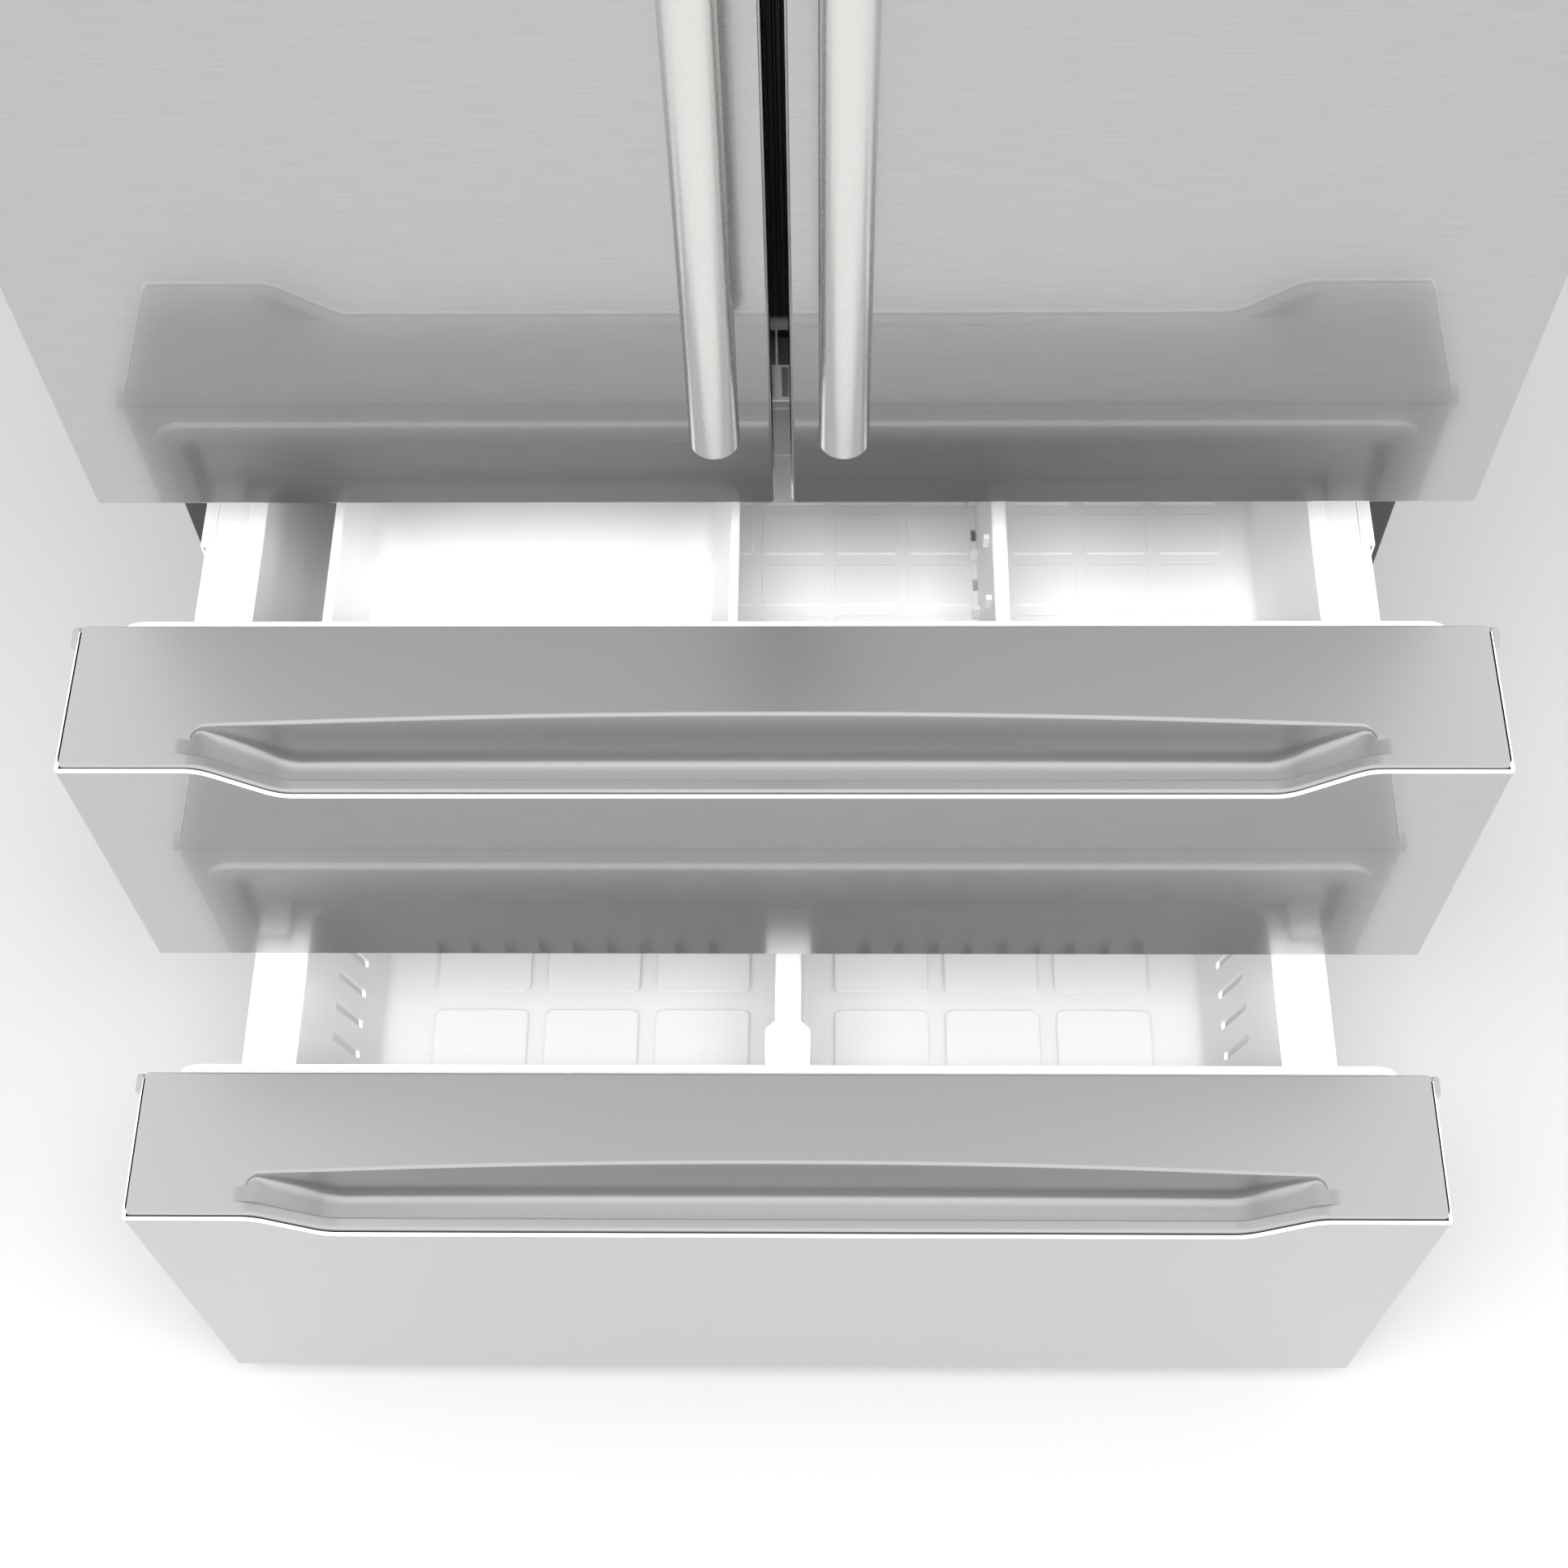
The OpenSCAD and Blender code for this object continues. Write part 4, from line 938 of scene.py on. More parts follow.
def make_door(side):
    """Skin, end caps, inner panel with its dyke, gasket and bins of one door."""
    name = "right" if side > 0 else "left"
    body = name + "_door"
    low, high = span(body + "_skin")
    x0, x1, y0, z0, z1 = low.x, high.x, low.y, low.z, high.z
    depth = high.y - low.y
    rear = y0 + depth + 5
    bm = bmesh.new()
    xs = [x0 + (x1 - x0) * k / 8 for k in range(1, 8)]
    folded_skin(bm, x0, x1, y0, z0, z1, depth, xs)
    place(body + "_steel_front", bm, "brushed_stainless", body, None, (body + "_skin",))

    bm = bmesh.new()
    end_cap(bm, x0, x1, y0, z0, z0 + 16, depth)
    end_cap(bm, x0, x1, y0, z1, z1 - 16, depth)
    place(body + "_end_caps", bm, "dark_plastic", body, None, (body + "_caps",))

    low, high = span(body + "_liner")
    bm = bmesh.new()
    brick(bm, (x0, y0 + depth, z0 + 0.4), (x1, rear, z1 - 0.4), 1.6)
    bins_low, bins_high = span(body + "_bins")
    section = filleted([(0, -0.5, 0), (2, high.y - rear, 4), (DYKE.thick - 2, high.y - rear, 4),
                        (DYKE.thick, -0.5, 0)], n=5)
    loops = []
    for inset, rise in section:
        away = DYKE.thick - inset
        outline = rounded(bins_low.x - away, bins_high.x + away, DYKE.foot + inset, DYKE.head - inset,
                          DYKE.corner - inset, 6)
        loops.append(on_axes(outline, "xz", rear + rise))
    loft(bm, loops, closed=True)
    if side < 0:
        # the two ears that carry the mullion's pin
        pin_low, pin_high = span("flipper_mullion")
        for z in (pin_low.z + 0.5, pin_high.z - 4.5):
            brick(bm, (-44, rear - 1, z), (-30, -32, z + 4), 1.0)
    place(body + "_formed_panel", bm, "liner_white", body, None, (body + "_liner",))

    low, high = span(body + "_gasket")
    bm = bmesh.new()
    gasket_ring(bm, (low.x, high.x, low.z, high.z), low.y, high.y)
    place(body + "_magnetic_gasket", bm, "gasket_grey", body, None, (body + "_gasket",))

    bm = bmesh.new()
    for z in BIN_FLOORS:
        tub(bm, (bins_low.x + 0.5, bins_high.x - 0.5, bins_low.y + 0.5, bins_high.y - 0.5), z,
            z + BIN_HEIGHT, wall=2.5, corner=10, draft=3, fillet=6)
        soft_plate(bm, (bins_low.x + 4, bins_high.x - 4, z + 62, z + 90), "xz", bins_high.y - 3.5,
                   bins_high.y - 0.2, 6, 1.0)
    place(body + "_clear_bins", bm, "clear_plastic", body, None, (body + "_bins",))
    keep(body + "_core", "foam")


def make_handle(side):
    """Round bar with plugged ends on two collared posts."""
    name = ("right" if side > 0 else "left") + "_handle"
    low, high = span(name)
    x, r = (low.x + high.x) / 2, (high.x - low.x) / 2
    y = low.y + r
    bm = bmesh.new()
    # the bar's end: a plug 0.5 mm below the rim, with a groove round it
    plug = r - 2.2
    profile = filleted([(0, low.z + 0.5, 0), (plug, low.z + 0.5, 0.3), (plug + 0.4, low.z + 1.0, 0.2),
                        (plug + 0.8, low.z, 0.3), (r, low.z, 1.3), (r, high.z, 1.3),
                        (plug + 0.8, high.z, 0.3), (plug + 0.4, high.z - 1.0, 0.2),
                        (plug, high.z - 0.5, 0.3), (0, high.z - 0.5, 0)], closed=False)
    turned(bm, (x, y, 0), profile, "z", 96)
    for z in (low.z + 60, high.z - 60):
        post = filleted([(0, high.y, 0), (10.5, high.y, 0), (10.5, high.y - 3, 1.0), (8.5, high.y - 4, 0.8),
                         (8.5, y, 0), (0, y, 0)], closed=False)
        turned(bm, (x, 0, z), post, "y", 48)
    body = name.replace("_handle", "_door")
    place(name + "_bar", bm, "ground_stainless", body, "brushed_stainless", (name,))


def make_mullion():
    """Hinged strip that closes the gap between the doors, at its full width, with two low ridges."""
    low, high = span("flipper_mullion")
    front, back = low.y + 0.1, high.y
    # the folded strip passes below the control panel
    top = min(high.z - 5.5, span("control_panel")[0].z - 4)
    bm = bmesh.new()
    # plan from the hinged edge to the free one: a recessed face with raised borders and two ridges
    outline = [(-40, back, 2.0), (-40, front + 0.6, 1.5), (-34, front + 0.6, 0.5), (-33, front + 1.6, 0.5)]
    for centre in (-2.6, 2.6):
        outline += [(centre - 1.4, front + 1.6, 0.4), (centre - 0.5, front + 1.1, 0.4),
                    (centre + 0.5, front + 1.1, 0.4), (centre + 1.4, front + 1.6, 0.4)]
    outline += [(24, front + 1.6, 0.5), (25, front + 0.6, 0.5), (30, front + 0.6, 1.5), (26, back, 2.0)]
    extrude(bm, filleted(outline, n=3), "xy", low.z + 5.5, top)
    pin = [(0, low.z, 0), (2.5, low.z, 0.4), (2.5, high.z, 0.4), (0, high.z, 0)]
    turned(bm, (-36, front + 3.5, 0), filleted(pin, closed=False), "z", 24)
    place("flipper_strip", bm, "dark_plastic", "flipper", None, ("flipper_mullion",), edge=0.6)


# ---- baskets --------------------------------------------------------------------------------

BASKET_LIP = 9.0
BASKET_WALL = 3.0


def tub(bm, rect, floor, top, wall, corner, draft, fillet, lip=0.0, lip_t=3.0):
    """An open container: rect is its plan at the top, and its walls lean in by draft at the floor."""
    x0, x1, y0, y1 = rect
    flat = draft + wall + 2 * fillet
    profile = [(flat, floor, 0), (draft, floor, fillet)]
    if lip:
        profile += [(0.5, top - lip_t, 1.0), (-lip, top - lip_t, 1.0)]
    profile += [(-lip, top, 1.2), (wall, top, 1.2), (draft + wall, floor + wall, fillet),
                (flat, floor + wall, 0)]
    loops = []
    for inset, z in filleted(profile, n=5, closed=False):
        along = max(inset, 0.0)
        outline = rounded(x0 + inset, x1 - inset, y0 + along, y1 - along, max(corner - along, 3.0), 8)
        loops.append(on_axes(outline, "xy", z))
    loft(bm, loops)


def slot_outline(a, b, width, height, lean=0.0):
    """A round-ended slot about (a, b), leaned by an angle in degrees."""
    c, s = math.cos(math.radians(lean)), math.sin(math.radians(lean))
    points = []
    for p, q in rounded(-width / 2, width / 2, -height / 2, height / 2, width / 2 - 0.02, 5):
        points.append((a + p * c - q * s, b + p * s + q * c))
    return points


def make_upper_basket(pads):
    """Basket with floor slots, raised floor pads and a divider."""
    s = lengths("fridge_mouldings")
    low, high = span("upper_basket")
    rect = (low.x + BASKET_LIP, high.x - BASKET_LIP, low.y, high.y)
    bm = bmesh.new()
    tub(bm, rect, low.z, high.z, BASKET_WALL, s.corner, s.draft, s.fillet, BASKET_LIP)
    # two round-ended slots through the floor, beside the divider
    cut = bmesh.new()
    for y in (low.y + 179, low.y + 225):
        extrude(cut, [(p[1], p[0]) for p in slot_outline(y, 132, 11, 34)], "xy", low.z - 5, low.z + 12)
    place("upper_basket_tub", bm, "white_plastic", "upper_drawer", None, ("upper_basket",), cutters=cut)

    bm = bmesh.new()
    across, along, rows = 56.0, 47.0, 9
    for columns, middle in ((6, -24), (3, 252)):
        grow(bm, pads, "white_plastic", Columns=columns, Rows=rows,
             Span=((columns - 1) * across, (rows - 1) * along, 0),
             Middle=(middle, low.y + 226, low.z + BASKET_WALL - 0.1), Length=50.0, Width=38.0, Corner=4.0,
             Rise=1.2)
    place("upper_basket_pads", bm, "white_plastic", "upper_drawer", sure=False)

    low, high = span("upper_divider")
    middle = (low.x + high.x) / 2
    bm = bmesh.new()
    divider(bm, middle, low.y, high.y, low.z, high.z, 5.5, 8.0, 26)
    # clips along the left face: one under the top, one over the floor
    for k in range(8):
        y = low.y + 30 + k * 52
        brick(bm, (middle - 9.5, y, high.z - 34), (middle - 4, y + 4, high.z - 22), 0.8)
        brick(bm, (middle - 11, y + 9, low.z + 4), (middle - 4, y + 13, low.z + 16), 0.8)
    place("upper_divider_plate", bm, "white_plastic", "upper_drawer", None, ("upper_divider",))


def divider(bm, x, y0, y1, z0, z1, half, wide, wide_len):
    """Upright wall between two halves of a basket, wider at its front end, with a soft top."""
    taper = 7
    neck, shoulder = y0 + wide_len + taper, y0 + wide_len
    outline = filleted([(x - half, y1, 1), (x - half, neck, 3), (x - wide, shoulder, 3), (x - wide, y0, 1),
                        (x + wide, y0, 1), (x + wide, shoulder, 3), (x + half, neck, 3),
                        (x + half, y1, 1)])
    crown = []
    for inset, z in ((0, z0), (0, z1 - 2.5), (0.7, z1 - 0.8), (2.2, z1)):
        ring = []
        for a, b in outline:
            away = 1 if a > x else -1
            ring.append((a - away * inset, b, z))
        crown.append(ring)
    loft(bm, crown)


def make_lower_basket(pads):
    """Basket with slotted walls, a raised floor and a centre divider."""
    s = lengths("fridge_mouldings")
    low, high = span("lower_basket")
    rect = (low.x + BASKET_LIP, high.x - BASKET_LIP, low.y, high.y)
    bm = bmesh.new()
    tub(bm, rect, low.z, high.z, BASKET_WALL, s.corner, s.draft + 4, s.fillet + 2, BASKET_LIP)
    soft_plate(bm, (-330, 334, low.y + 40, high.y - 36), "xy", low.z + 2, low.z + 6.5, 24, 2.5)
    cut = bmesh.new()
    half_way = (low.z + high.z) / 2
    for side in (-1, 1):
        a, b = sorted((side * (high.x - 35), side * (high.x + 5)))
        for k in range(s.side_slots):
            leaned = slot_outline(low.y + 48 + k * s.slot_pitch, half_way - 6, 7, 84, 12)
            extrude(cut, leaned, "yz", a, b)
        for k in range(s.slot_count):
            upright = slot_outline(side * (60 + k * s.slot_pitch), half_way + 20, 8, 90)
            extrude(cut, upright, "xz", low.y - 5, low.y + 22)
    place("lower_basket_tub", bm, "white_plastic", "lower_drawer", None, ("lower_basket",), cutters=cut)

    bm = bmesh.new()
    for side in (-1, 1):
        grow(bm, pads, "white_plastic", Columns=3, Rows=4, Span=(190.0, 210.0, 0),
             Middle=(side * 172, (low.y + high.y) / 2, low.z + 6.4), Length=80.0, Width=54.0, Corner=6.0,
             Rise=1.2)
    place("lower_basket_pads", bm, "white_plastic", "lower_drawer", sure=False)

    low, high = span("lower_divider")
    bm = bmesh.new()
    divider(bm, 0.0, low.y, high.y, low.z, high.z, 10.0, 17.5, 62)
    place("lower_divider_wall", bm, "white_plastic", "lower_drawer", None, ("lower_divider",))


def make_ice_tray():
    """Shallow tray with leaning walls that hangs in the upper basket."""
    s = lengths("fridge_mouldings")
    low, high = span("ice_tray")
    lip = 3.8
    bm = bmesh.new()
    tub(bm, (low.x + lip, high.x - lip, low.y + 4, high.y - 4), low.z, high.z, 2.5, s.tray_corner,
        s.tray_draft, 14, lip, 2.6)
    for y in (low.y, high.y - 5):
        brick(bm, (low.x + 12, y, high.z - 3), (high.x - 12, y + 5, high.z), 1.0)
    place("ice_tray_moulding", bm, "white_plastic", "tray", None, ("ice_tray",))


# ---- cabinet --------------------------------------------------------------------------------


def make_case():
    """Wrapped case with a folded flange round its mouth."""
    low, high = span("outer_case")
    liner_low, liner_high = span("fridge_liner")
    mouth, mouth_top = liner_high.x, liner_high.z
    half, top, front, back = high.x, high.z, low.y, high.y
    fold, sheet, bend = 1.6, 1.0, 5
    path = filleted([(-half, low.z, 0), (-half, top, bend), (half, top, bend), (half, low.z, 0)], n=6,
                    closed=False)
    straight = [(-half, low.z + (mouth_top - low.z) * k / 4) for k in range(1, 5)]
    flat = [(mouth * (k / 4 - 1), top) for k in range(9)]
    left = [p for p in path if p[0] < 0]
    right = [p for p in path if p[0] > 0]
    stations = [left[0], *straight, *left[1:], *flat, *right[:-1],
                *mirrored(reversed(straight), -1), right[-1]]
    loops = []
    for x, z in stations:
        inner = Vector((max(min(x, mouth), -mouth), min(z, mouth_top)))
        way = inner - Vector((x, z))
        reach = way.length
        way.normalize()
        section = filleted([(0, back, 0), (0, front, fold), (reach, front, 0), (reach, front + sheet, 0),
                            (sheet, front + sheet, 0.3), (sheet, back, 0)])
        loops.append([(x + way.x * o, y, z + way.y * o) for o, y in section])
    bm = bmesh.new()
    loft(bm, loops)
    place("case_wrapper", bm, "case_paint", "cabinet", None, ("outer_case",))
    softened("base_frame", "case_paint", "cabinet", 0.5)

    # the foam keeps clear of the case's round edges and of the panel at its back
    inset = 3
    bm = node_copy("insulation")
    for v in bm.verts:
        v.co.x = max(min(v.co.x, half - inset), inset - half)
        v.co.z = min(v.co.z, top - inset)
        if v.co.y > back - 2:
            v.co.y = back - 7
    place("insulation_foam", bm, "foam", "cabinet", None, ("insulation",), sure=False)


def formed_cavity(name, nodes, outline, half, corner, front, mouth):
    """White liner: a cavity with round corners, and a lip from its edge out to the flange.

    The outline is (y, z) corners. Where y is None the cavity is open, and is cut at its front.
    """
    lip_half, lip_low, lip_high = mouth
    bm = bmesh.new()
    extrude(bm, [(front - 60 if y is None else y, z) for y, z in outline], "yz", -half, half)
    bmesh.ops.remove_doubles(bm, verts=bm.verts, dist=1e-4)
    bmesh.ops.recalc_face_normals(bm, faces=bm.faces)
    bmesh.ops.bevel(bm, geom=bm.edges[:], offset=corner, segments=5, profile=0.5, affect="EDGES")
    plane = front + 0.4
    bmesh.ops.bisect_plane(bm, geom=bm.verts[:] + bm.edges[:] + bm.faces[:], plane_co=(0, plane, 0),
                           plane_no=(0, 1, 0), clear_inner=True)
    rim = [e for e in bm.edges if e.is_boundary]
    out = bmesh.ops.extrude_edge_only(bm, edges=rim)["geom"]
    middle = (lip_low + lip_high) / 2
    tall = (lip_high - lip_low) / 2
    for v in [g for g in out if isinstance(g, bmesh.types.BMVert)]:
        away = Vector((v.co.x, v.co.z - middle))
        scale = min(lip_half / max(abs(away.x), 1e-6), tall / max(abs(away.y), 1e-6))
        v.co.x = away.x * scale
        v.co.z = middle + away.y * scale
    bmesh.ops.recalc_face_normals(bm, faces=bm.faces)
    rearmost = max(bm.faces, key=lambda f: f.calc_center_median().y)
    if rearmost.normal.y < 0:
        bmesh.ops.reverse_faces(bm, faces=bm.faces[:])
    place(name, bm, "liner_white", "cabinet", None, nodes, wall=1.2, sure=False)


def make_liners():
    """Liners of both compartments, the rails across the mouth and the mullion's catch."""
    corner = lengths("fridge_mouldings").liner_corner
    low, high = span("fridge_liner")
    half = high.x - 12
    floor, ceiling, back = low.z + 2, high.z - 12, high.y - 2
    formed_cavity("fridge_liner_shell", ("fridge_liner",),
                  [(None, floor), (back, floor), (back, ceiling), (None, ceiling)], half, corner, low.y,
                  (high.x, low.z, high.z))
    cold_low, cold_high = span("freezer_liner")
    floor, ceiling, back = cold_low.z + 2, cold_high.z - 2, cold_high.y - 2
    step_y, step_z = 346.0, 290.0
    formed_cavity("freezer_liner_shell", ("freezer_liner",),
                  [(None, floor), (step_y, floor), (step_y, step_z), (back, step_z), (back, ceiling),
                   (None, ceiling)], half, corner, cold_low.y, (high.x, cold_low.z, cold_high.z))
    softened("cross_rails", "white_plastic", "cabinet", 2.0)
    # the part of the catch that stands in front of the rails is dark
    catch = softened("mullion_catch", "grey_plastic", "cabinet", 0.7)
    catch.data.materials.append(material("dark_plastic"))
    front = span("cross_rails")[0].y * MM
    for face in catch.data.polygons:
        if face.center.y < front - 0.0006:
            face.material_index = 1


def make_back(screws, bars):
    """Ribbed back panel, vented cover of the machine compartment, and their screws."""
    low, high = span("back_panel")
    bm = bmesh.new()
    panel_y = high.y - 4
    brick(bm, (low.x + 0.2, panel_y - 1, low.z), (high.x - 0.2, panel_y, high.z), 0.4)
    for k in range(5):
        x = low.x + (high.x - low.x) * (k + 1) / 6
        rib = (x - 26, x + 26, low.z + 90, high.z - 90)
        soft_plate(bm, rib, "xz", panel_y - 0.5, panel_y + 2.6, 24, 2.4)
    place("back_panel_pressed", bm, "zinc_steel", "cabinet", None, ("back_panel",))

    low, high = span("compressor_cover")
    bm = bmesh.new()
    outline = rounded(low.x + 0.2, high.x - 0.2, low.z, high.z - 0.5, 3)
    extrude(bm, outline, "xz", panel_y - 1, panel_y)
    cut = bmesh.new()
    for side in (-1, 1):
        a, b = sorted((side * 82, side * 336))
        extrude(cut, rounded(a, b, low.z + 58, low.z + 172, 8), "xz", panel_y - 6, panel_y + 6)
    inlet = sum(span("cord_inlet"), Vector()) / 2
    hole_r = 8.6
    turns = [t * math.pi / 16 for t in range(32)]
    hole = [(inlet.x + hole_r * math.cos(t), inlet.z + hole_r * math.sin(t)) for t in turns]
    extrude(cut, hole, "xz", panel_y - 6, panel_y + 6)
    place("machine_cover_plate", bm, "case_paint", "cabinet", None, ("compressor_cover",), cutters=cut)
    bm = bmesh.new()
    for side in (-1, 1):
        grow(bm, bars, "case_paint", Count=15, Start=(side * 90.0, panel_y + 0.3, low.z + 115),
             Step=(side * 17.0, 0.0, 0.0), Size=(8.0, 3.0, 118.0))
    place("machine_cover_slats", bm, "case_paint", "cabinet", edge=0.6)

    softened("cord_inlet", "dark_plastic", "cabinet", 0.8)
    back_low, back_high = span("back_panel")
    margin = 20
    wide, cover_wide = back_high.x - back_low.x - 2 * margin, high.x - low.x - 2 * margin
    # rows of screws: how many, where the first one is (x, z), and the step to the next one (x, z)
    rows = (
        (9, (back_low.x + margin, back_low.z + 10), (wide / 8, 0.0)),
        (9, (back_low.x + margin, back_high.z - 10), (wide / 8, 0.0)),
        (7, (back_low.x + 8, back_low.z + 150), (0.0, 200.0)),
        (7, (back_high.x - 8, back_low.z + 150), (0.0, 200.0)),
        (5, (low.x + margin, low.z + 10), (cover_wide / 4, 0.0)),
    )
    bm = bmesh.new()
    for count, (x, z), (step_x, step_z) in rows:
        grow(bm, screws, "zinc_steel", Count=count, Start=(x, panel_y + 1.0, z),
             Step=(step_x, 0.0, step_z), Radius=4.5, Height=2.2, Turn=(math.radians(-90), 0.0, 0.0))
    place("back_screws", bm, "zinc_steel", "cabinet", sure=False)


def make_interior():
    """Shelves, crispers, duct and control panel of the fridge compartment."""
    softened("shelf_frames", "white_plastic", "cabinet", 1.6)
    softened("shelf_glass", "shelf_glass", "cabinet", 0.8)
    softened("crispers", "clear_plastic", "cabinet", 1.2)
    softened("air_duct", "white_plastic", "cabinet", 2.0)
    softened("control_panel", "grey_plastic", "cabinet", 2.0)


def make_rails():
    """Telescopic rails, the brackets that carry the baskets, and their white covers."""
    softened("fixed_rails", "coated_steel", "cabinet", 0.4)
    for which in DRAWERS:
        softened(which + "_mid_rails", "coated_steel", which + "_mids", 0.4)
        softened(which + "_runners", "coated_steel", which + "_drawer", 0.4)
        # a cover stands above the rails only, so that it clears them when the drawer is shut
        low, high = span(which + "_runners")
        bm = bmesh.new()
        for side in (-1, 1):
            a, b = sorted((side * 381.5, side * 405.5))
            brick(bm, (a, low.y - 0.5, high.z - 1.2), (b, low.y + 30, high.z + 8), 3.0)
        place(which + "_bracket_covers", bm, "white_plastic", which + "_drawer")


def make_machinery():
    """What stands in the machine compartment, and what the cabinet stands on."""
    softened("compressor", "black_enamel", "cabinet", 3.0)
    softened("condenser", "fin_aluminium", "cabinet", 0.3)
    softened("fan_motor", "black_enamel", "cabinet", 1.0)
    softened("condenser_fan", "white_plastic", "fan", 0.6)
    softened("drip_pan", "dark_plastic", "cabinet", 0.8)
    for side in ("left", "right"):
        softened(side + "_foot", "dark_plastic", side + "_foot", 0.8)
        softened(side + "_roller", "tyre_nylon", side + "_roller", 1.5)
    softened("kick_grille", "dark_plastic", "cabinet", 0.6)
    softened("door_hinges", "zinc_steel", "cabinet", 0.8)
    softened("hinge_covers", "dark_plastic", "cabinet", 0.8)


# ---- stage ----------------------------------------------------------------------------------

# Soft boxes: name, place, what it points at, width and height, all in metres, and watts.
SOFT_BOXES = (
    ("overhead_box", (0.0, -1.3, 2.9), (0, -0.3, 0.5), (1.6, 1.0), 85),
    ("left_box", (-2.2, -1.8, 2.2), (-1.5, -1.5, 0.0), (1.2, 1.8), 36),
    ("right_box", (2.2, -1.8, 2.2), (1.5, -1.5, 0.0), (1.2, 1.8), 36),
)


def soft_box(name, place_at, aim, size, power):
    """A rectangular light that points at a place and isn't itself mirrored in the metals."""
    data = bpy.data.lights.new(name, "AREA")
    data.shape = "RECTANGLE"
    data.size, data.size_y = size
    data.energy = power
    lamp = bpy.data.objects.new(name, data)
    lamp.location = place_at
    lamp.rotation_euler = (Vector(aim) - Vector(place_at)).to_track_quat("-Z", "Y").to_euler()
    lamp.visible_glossy = False
    bpy.context.scene.collection.objects.link(lamp)


def make_stage():
    """Pale floor, white surroundings, soft boxes and the camera."""
    scene = bpy.context.scene
    stage = scene.fridge_stage
    bm = bmesh.new()
    bmesh.ops.create_grid(bm, x_segments=1, y_segments=1, size=8.0)
    mesh = bpy.data.meshes.new("floor")
    bm.to_mesh(mesh)
    bm.free()
    floor = bpy.data.objects.new("floor", mesh)
    scene.collection.objects.link(floor)
    made, tree, shader = principled("studio_floor", linear("#BCBCBC"), Roughness=0.9)
    vary_colour(tree, shader, pattern(tree, (400, 400, 400)), 0.01)
    mesh.materials.append(made)

    world = bpy.data.worlds.new("studio")
    world.use_nodes = True
    sky = world.node_tree.nodes["Background"]
    sky.inputs["Color"].default_value = (1, 1, 1, 1)
    sky.inputs["Strength"].default_value = stage.sky
    scene.world = world
    for box in SOFT_BOXES:
        soft_box(*box)
    scene.view_settings.view_transform = "Standard"

    data = bpy.data.cameras.new("camera")
    data.lens = stage.lens
    data.sensor_width = 36.0
    data.clip_start = 0.05
    camera = bpy.data.objects.new("camera", data)
    camera.matrix_world = camera_matrix(stage)
    scene.collection.objects.link(camera)
    scene.camera = camera


def camera_matrix(stage):
    """The camera's place and turn from its pitch, heading and roll."""
    pitch, heading, roll = stage.pitch, stage.heading, stage.roll
    forward = Vector((math.sin(heading) * math.cos(pitch), math.cos(heading) * math.cos(pitch),
                      -math.sin(pitch)))
    right = Vector((math.cos(heading), -math.sin(heading), 0))
    down = forward.cross(right)
    right_rolled = math.cos(roll) * right + math.sin(roll) * down
    down_rolled = -math.sin(roll) * right + math.cos(roll) * down
    turn = Matrix((right_rolled, -down_rolled, -forward)).transposed()
    return Matrix.Translation(stage.place) @ turn.to_4x4()


# ---- operators ------------------------------------------------------------------------------


class FRIDGE_OT_drawer_fronts(bpy.types.Operator):
    """Build both drawer fronts: skins, caps with pocket grips, inner panels and gaskets"""

    bl_idname = "fridge.drawer_fronts"
    bl_label = "Drawer fronts"

    def execute(self, context):
        for which in DRAWERS:
            make_drawer_front(which)
        return {"FINISHED"}


class FRIDGE_OT_doors(bpy.types.Operator):
    """Build both doors: skins, end caps, formed panels, gaskets and bins"""

    bl_idname = "fridge.doors"
    bl_label = "Doors"

    def execute(self, context):
        for side in (-1, 1):
            make_door(side)
        return {"FINISHED"}


class FRIDGE_OT_handles(bpy.types.Operator):
    """Build the two bar handles"""

    bl_idname = "fridge.handles"
    bl_label = "Handles"

    def execute(self, context):
        for side in (-1, 1):
            make_handle(side)
        return {"FINISHED"}


class FRIDGE_OT_mullion(bpy.types.Operator):
    """Build the flipper mullion between the doors"""

    bl_idname = "fridge.mullion"
    bl_label = "Flipper mullion"

    def execute(self, context):
        make_mullion()
        return {"FINISHED"}


class FRIDGE_OT_baskets(bpy.types.Operator):
    """Build the freezer baskets, their dividers and the ice tray"""

    bl_idname = "fridge.baskets"
    bl_label = "Baskets"

    def execute(self, context):
        pads = pad_tree()
        make_upper_basket(pads)
        make_lower_basket(pads)
        make_ice_tray()
        return {"FINISHED"}


class FRIDGE_OT_cabinet(bpy.types.Operator):
    """Build the case, the foam, the liners and the rails across the mouth"""

    bl_idname = "fridge.cabinet"
    bl_label = "Cabinet"

    def execute(self, context):
        make_case()
        make_liners()
        return {"FINISHED"}


class FRIDGE_OT_back(bpy.types.Operator):
    """Build the back panel, the machine cover and their screws"""

    bl_idname = "fridge.back"
    bl_label = "Back"

    def execute(self, context):
        make_back(screw_tree(), bar_tree())
        return {"FINISHED"}


class FRIDGE_OT_interior(bpy.types.Operator):
    """Build the shelves, crispers, duct and control panel"""

    bl_idname = "fridge.interior"
    bl_label = "Interior"

    def execute(self, context):
        make_interior()
        return {"FINISHED"}


class FRIDGE_OT_rails(bpy.types.Operator):
    """Build the telescopic rails and their brackets"""

    bl_idname = "fridge.rails"
    bl_label = "Rails"

    def execute(self, context):
        make_rails()
        return {"FINISHED"}


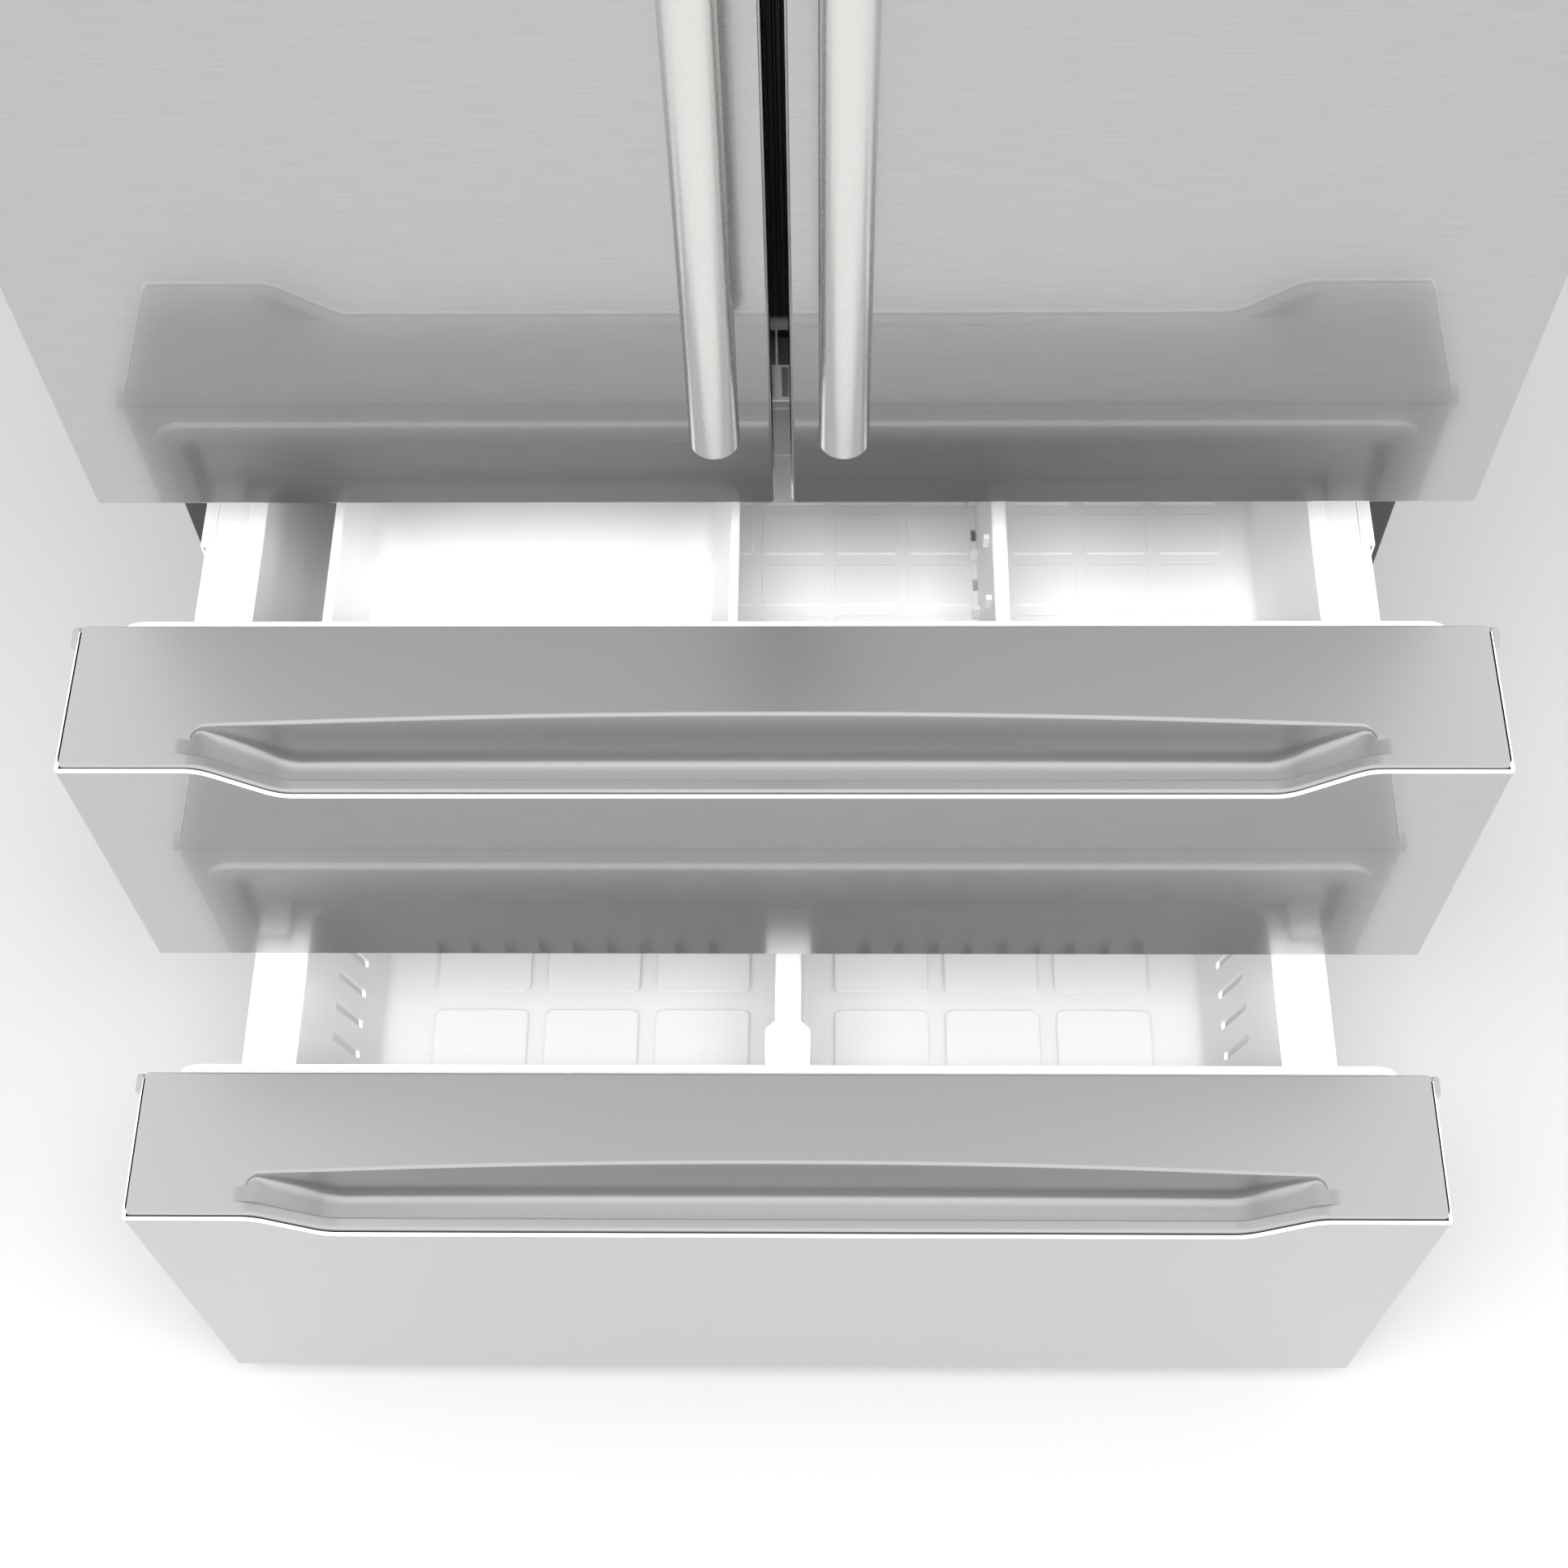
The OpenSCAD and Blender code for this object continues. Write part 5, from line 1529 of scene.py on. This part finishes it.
class FRIDGE_OT_machinery(bpy.types.Operator):
    """Build the cooling machinery, hinges, grille, feet and rollers"""

    bl_idname = "fridge.machinery"
    bl_label = "Machinery and base"

    def execute(self, context):
        make_machinery()
        return {"FINISHED"}


class FRIDGE_OT_stage(bpy.types.Operator):
    """Build the floor, the lights and the camera"""

    bl_idname = "fridge.stage"
    bl_label = "Stage"

    def execute(self, context):
        make_stage()
        return {"FINISHED"}


OPERATORS = (
    FRIDGE_OT_drawer_fronts, FRIDGE_OT_doors, FRIDGE_OT_handles, FRIDGE_OT_mullion, FRIDGE_OT_baskets,
    FRIDGE_OT_cabinet, FRIDGE_OT_back, FRIDGE_OT_interior, FRIDGE_OT_rails, FRIDGE_OT_machinery,
    FRIDGE_OT_stage,
)
GROUPS = {
    "fridge_fronts": FrontSizes,
    "fridge_mouldings": MouldingSizes,
    "fridge_stage": StageSettings,
    "fridge_colours": Colours,
}


class FRIDGE_PT_panel(bpy.types.Panel):
    """Lists the operators and settings in the sidebar"""

    bl_idname = "FRIDGE_PT_panel"
    bl_label = "Refrigerator"
    bl_space_type = "VIEW_3D"
    bl_region_type = "UI"
    bl_category = "Refrigerator"

    def draw(self, context):
        for operator in OPERATORS:
            self.layout.operator(operator.bl_idname)
        for group, kind in GROUPS.items():
            box = self.layout.box()
            for key in kind.__annotations__:
                box.prop(getattr(context.scene, group), key)


def register():
    """Registers the classes and hangs the settings on the scene."""
    for group, kind in GROUPS.items():
        bpy.utils.register_class(kind)
        setattr(bpy.types.Scene, group, PointerProperty(type=kind))
    for kind in (*OPERATORS, FRIDGE_PT_panel):
        bpy.utils.register_class(kind)


def unregister():
    """Removes what register() added."""
    for kind in reversed((*OPERATORS, FRIDGE_PT_panel)):
        bpy.utils.unregister_class(kind)
    for group, kind in reversed(list(GROUPS.items())):
        delattr(bpy.types.Scene, group)
        bpy.utils.unregister_class(kind)


def main():
    """Builds every piece and the stage."""
    register()
    for operator in OPERATORS:
        group, action = operator.bl_idname.split(".")
        getattr(getattr(bpy.ops, group), action)()


if __name__ == "__main__":
    main()
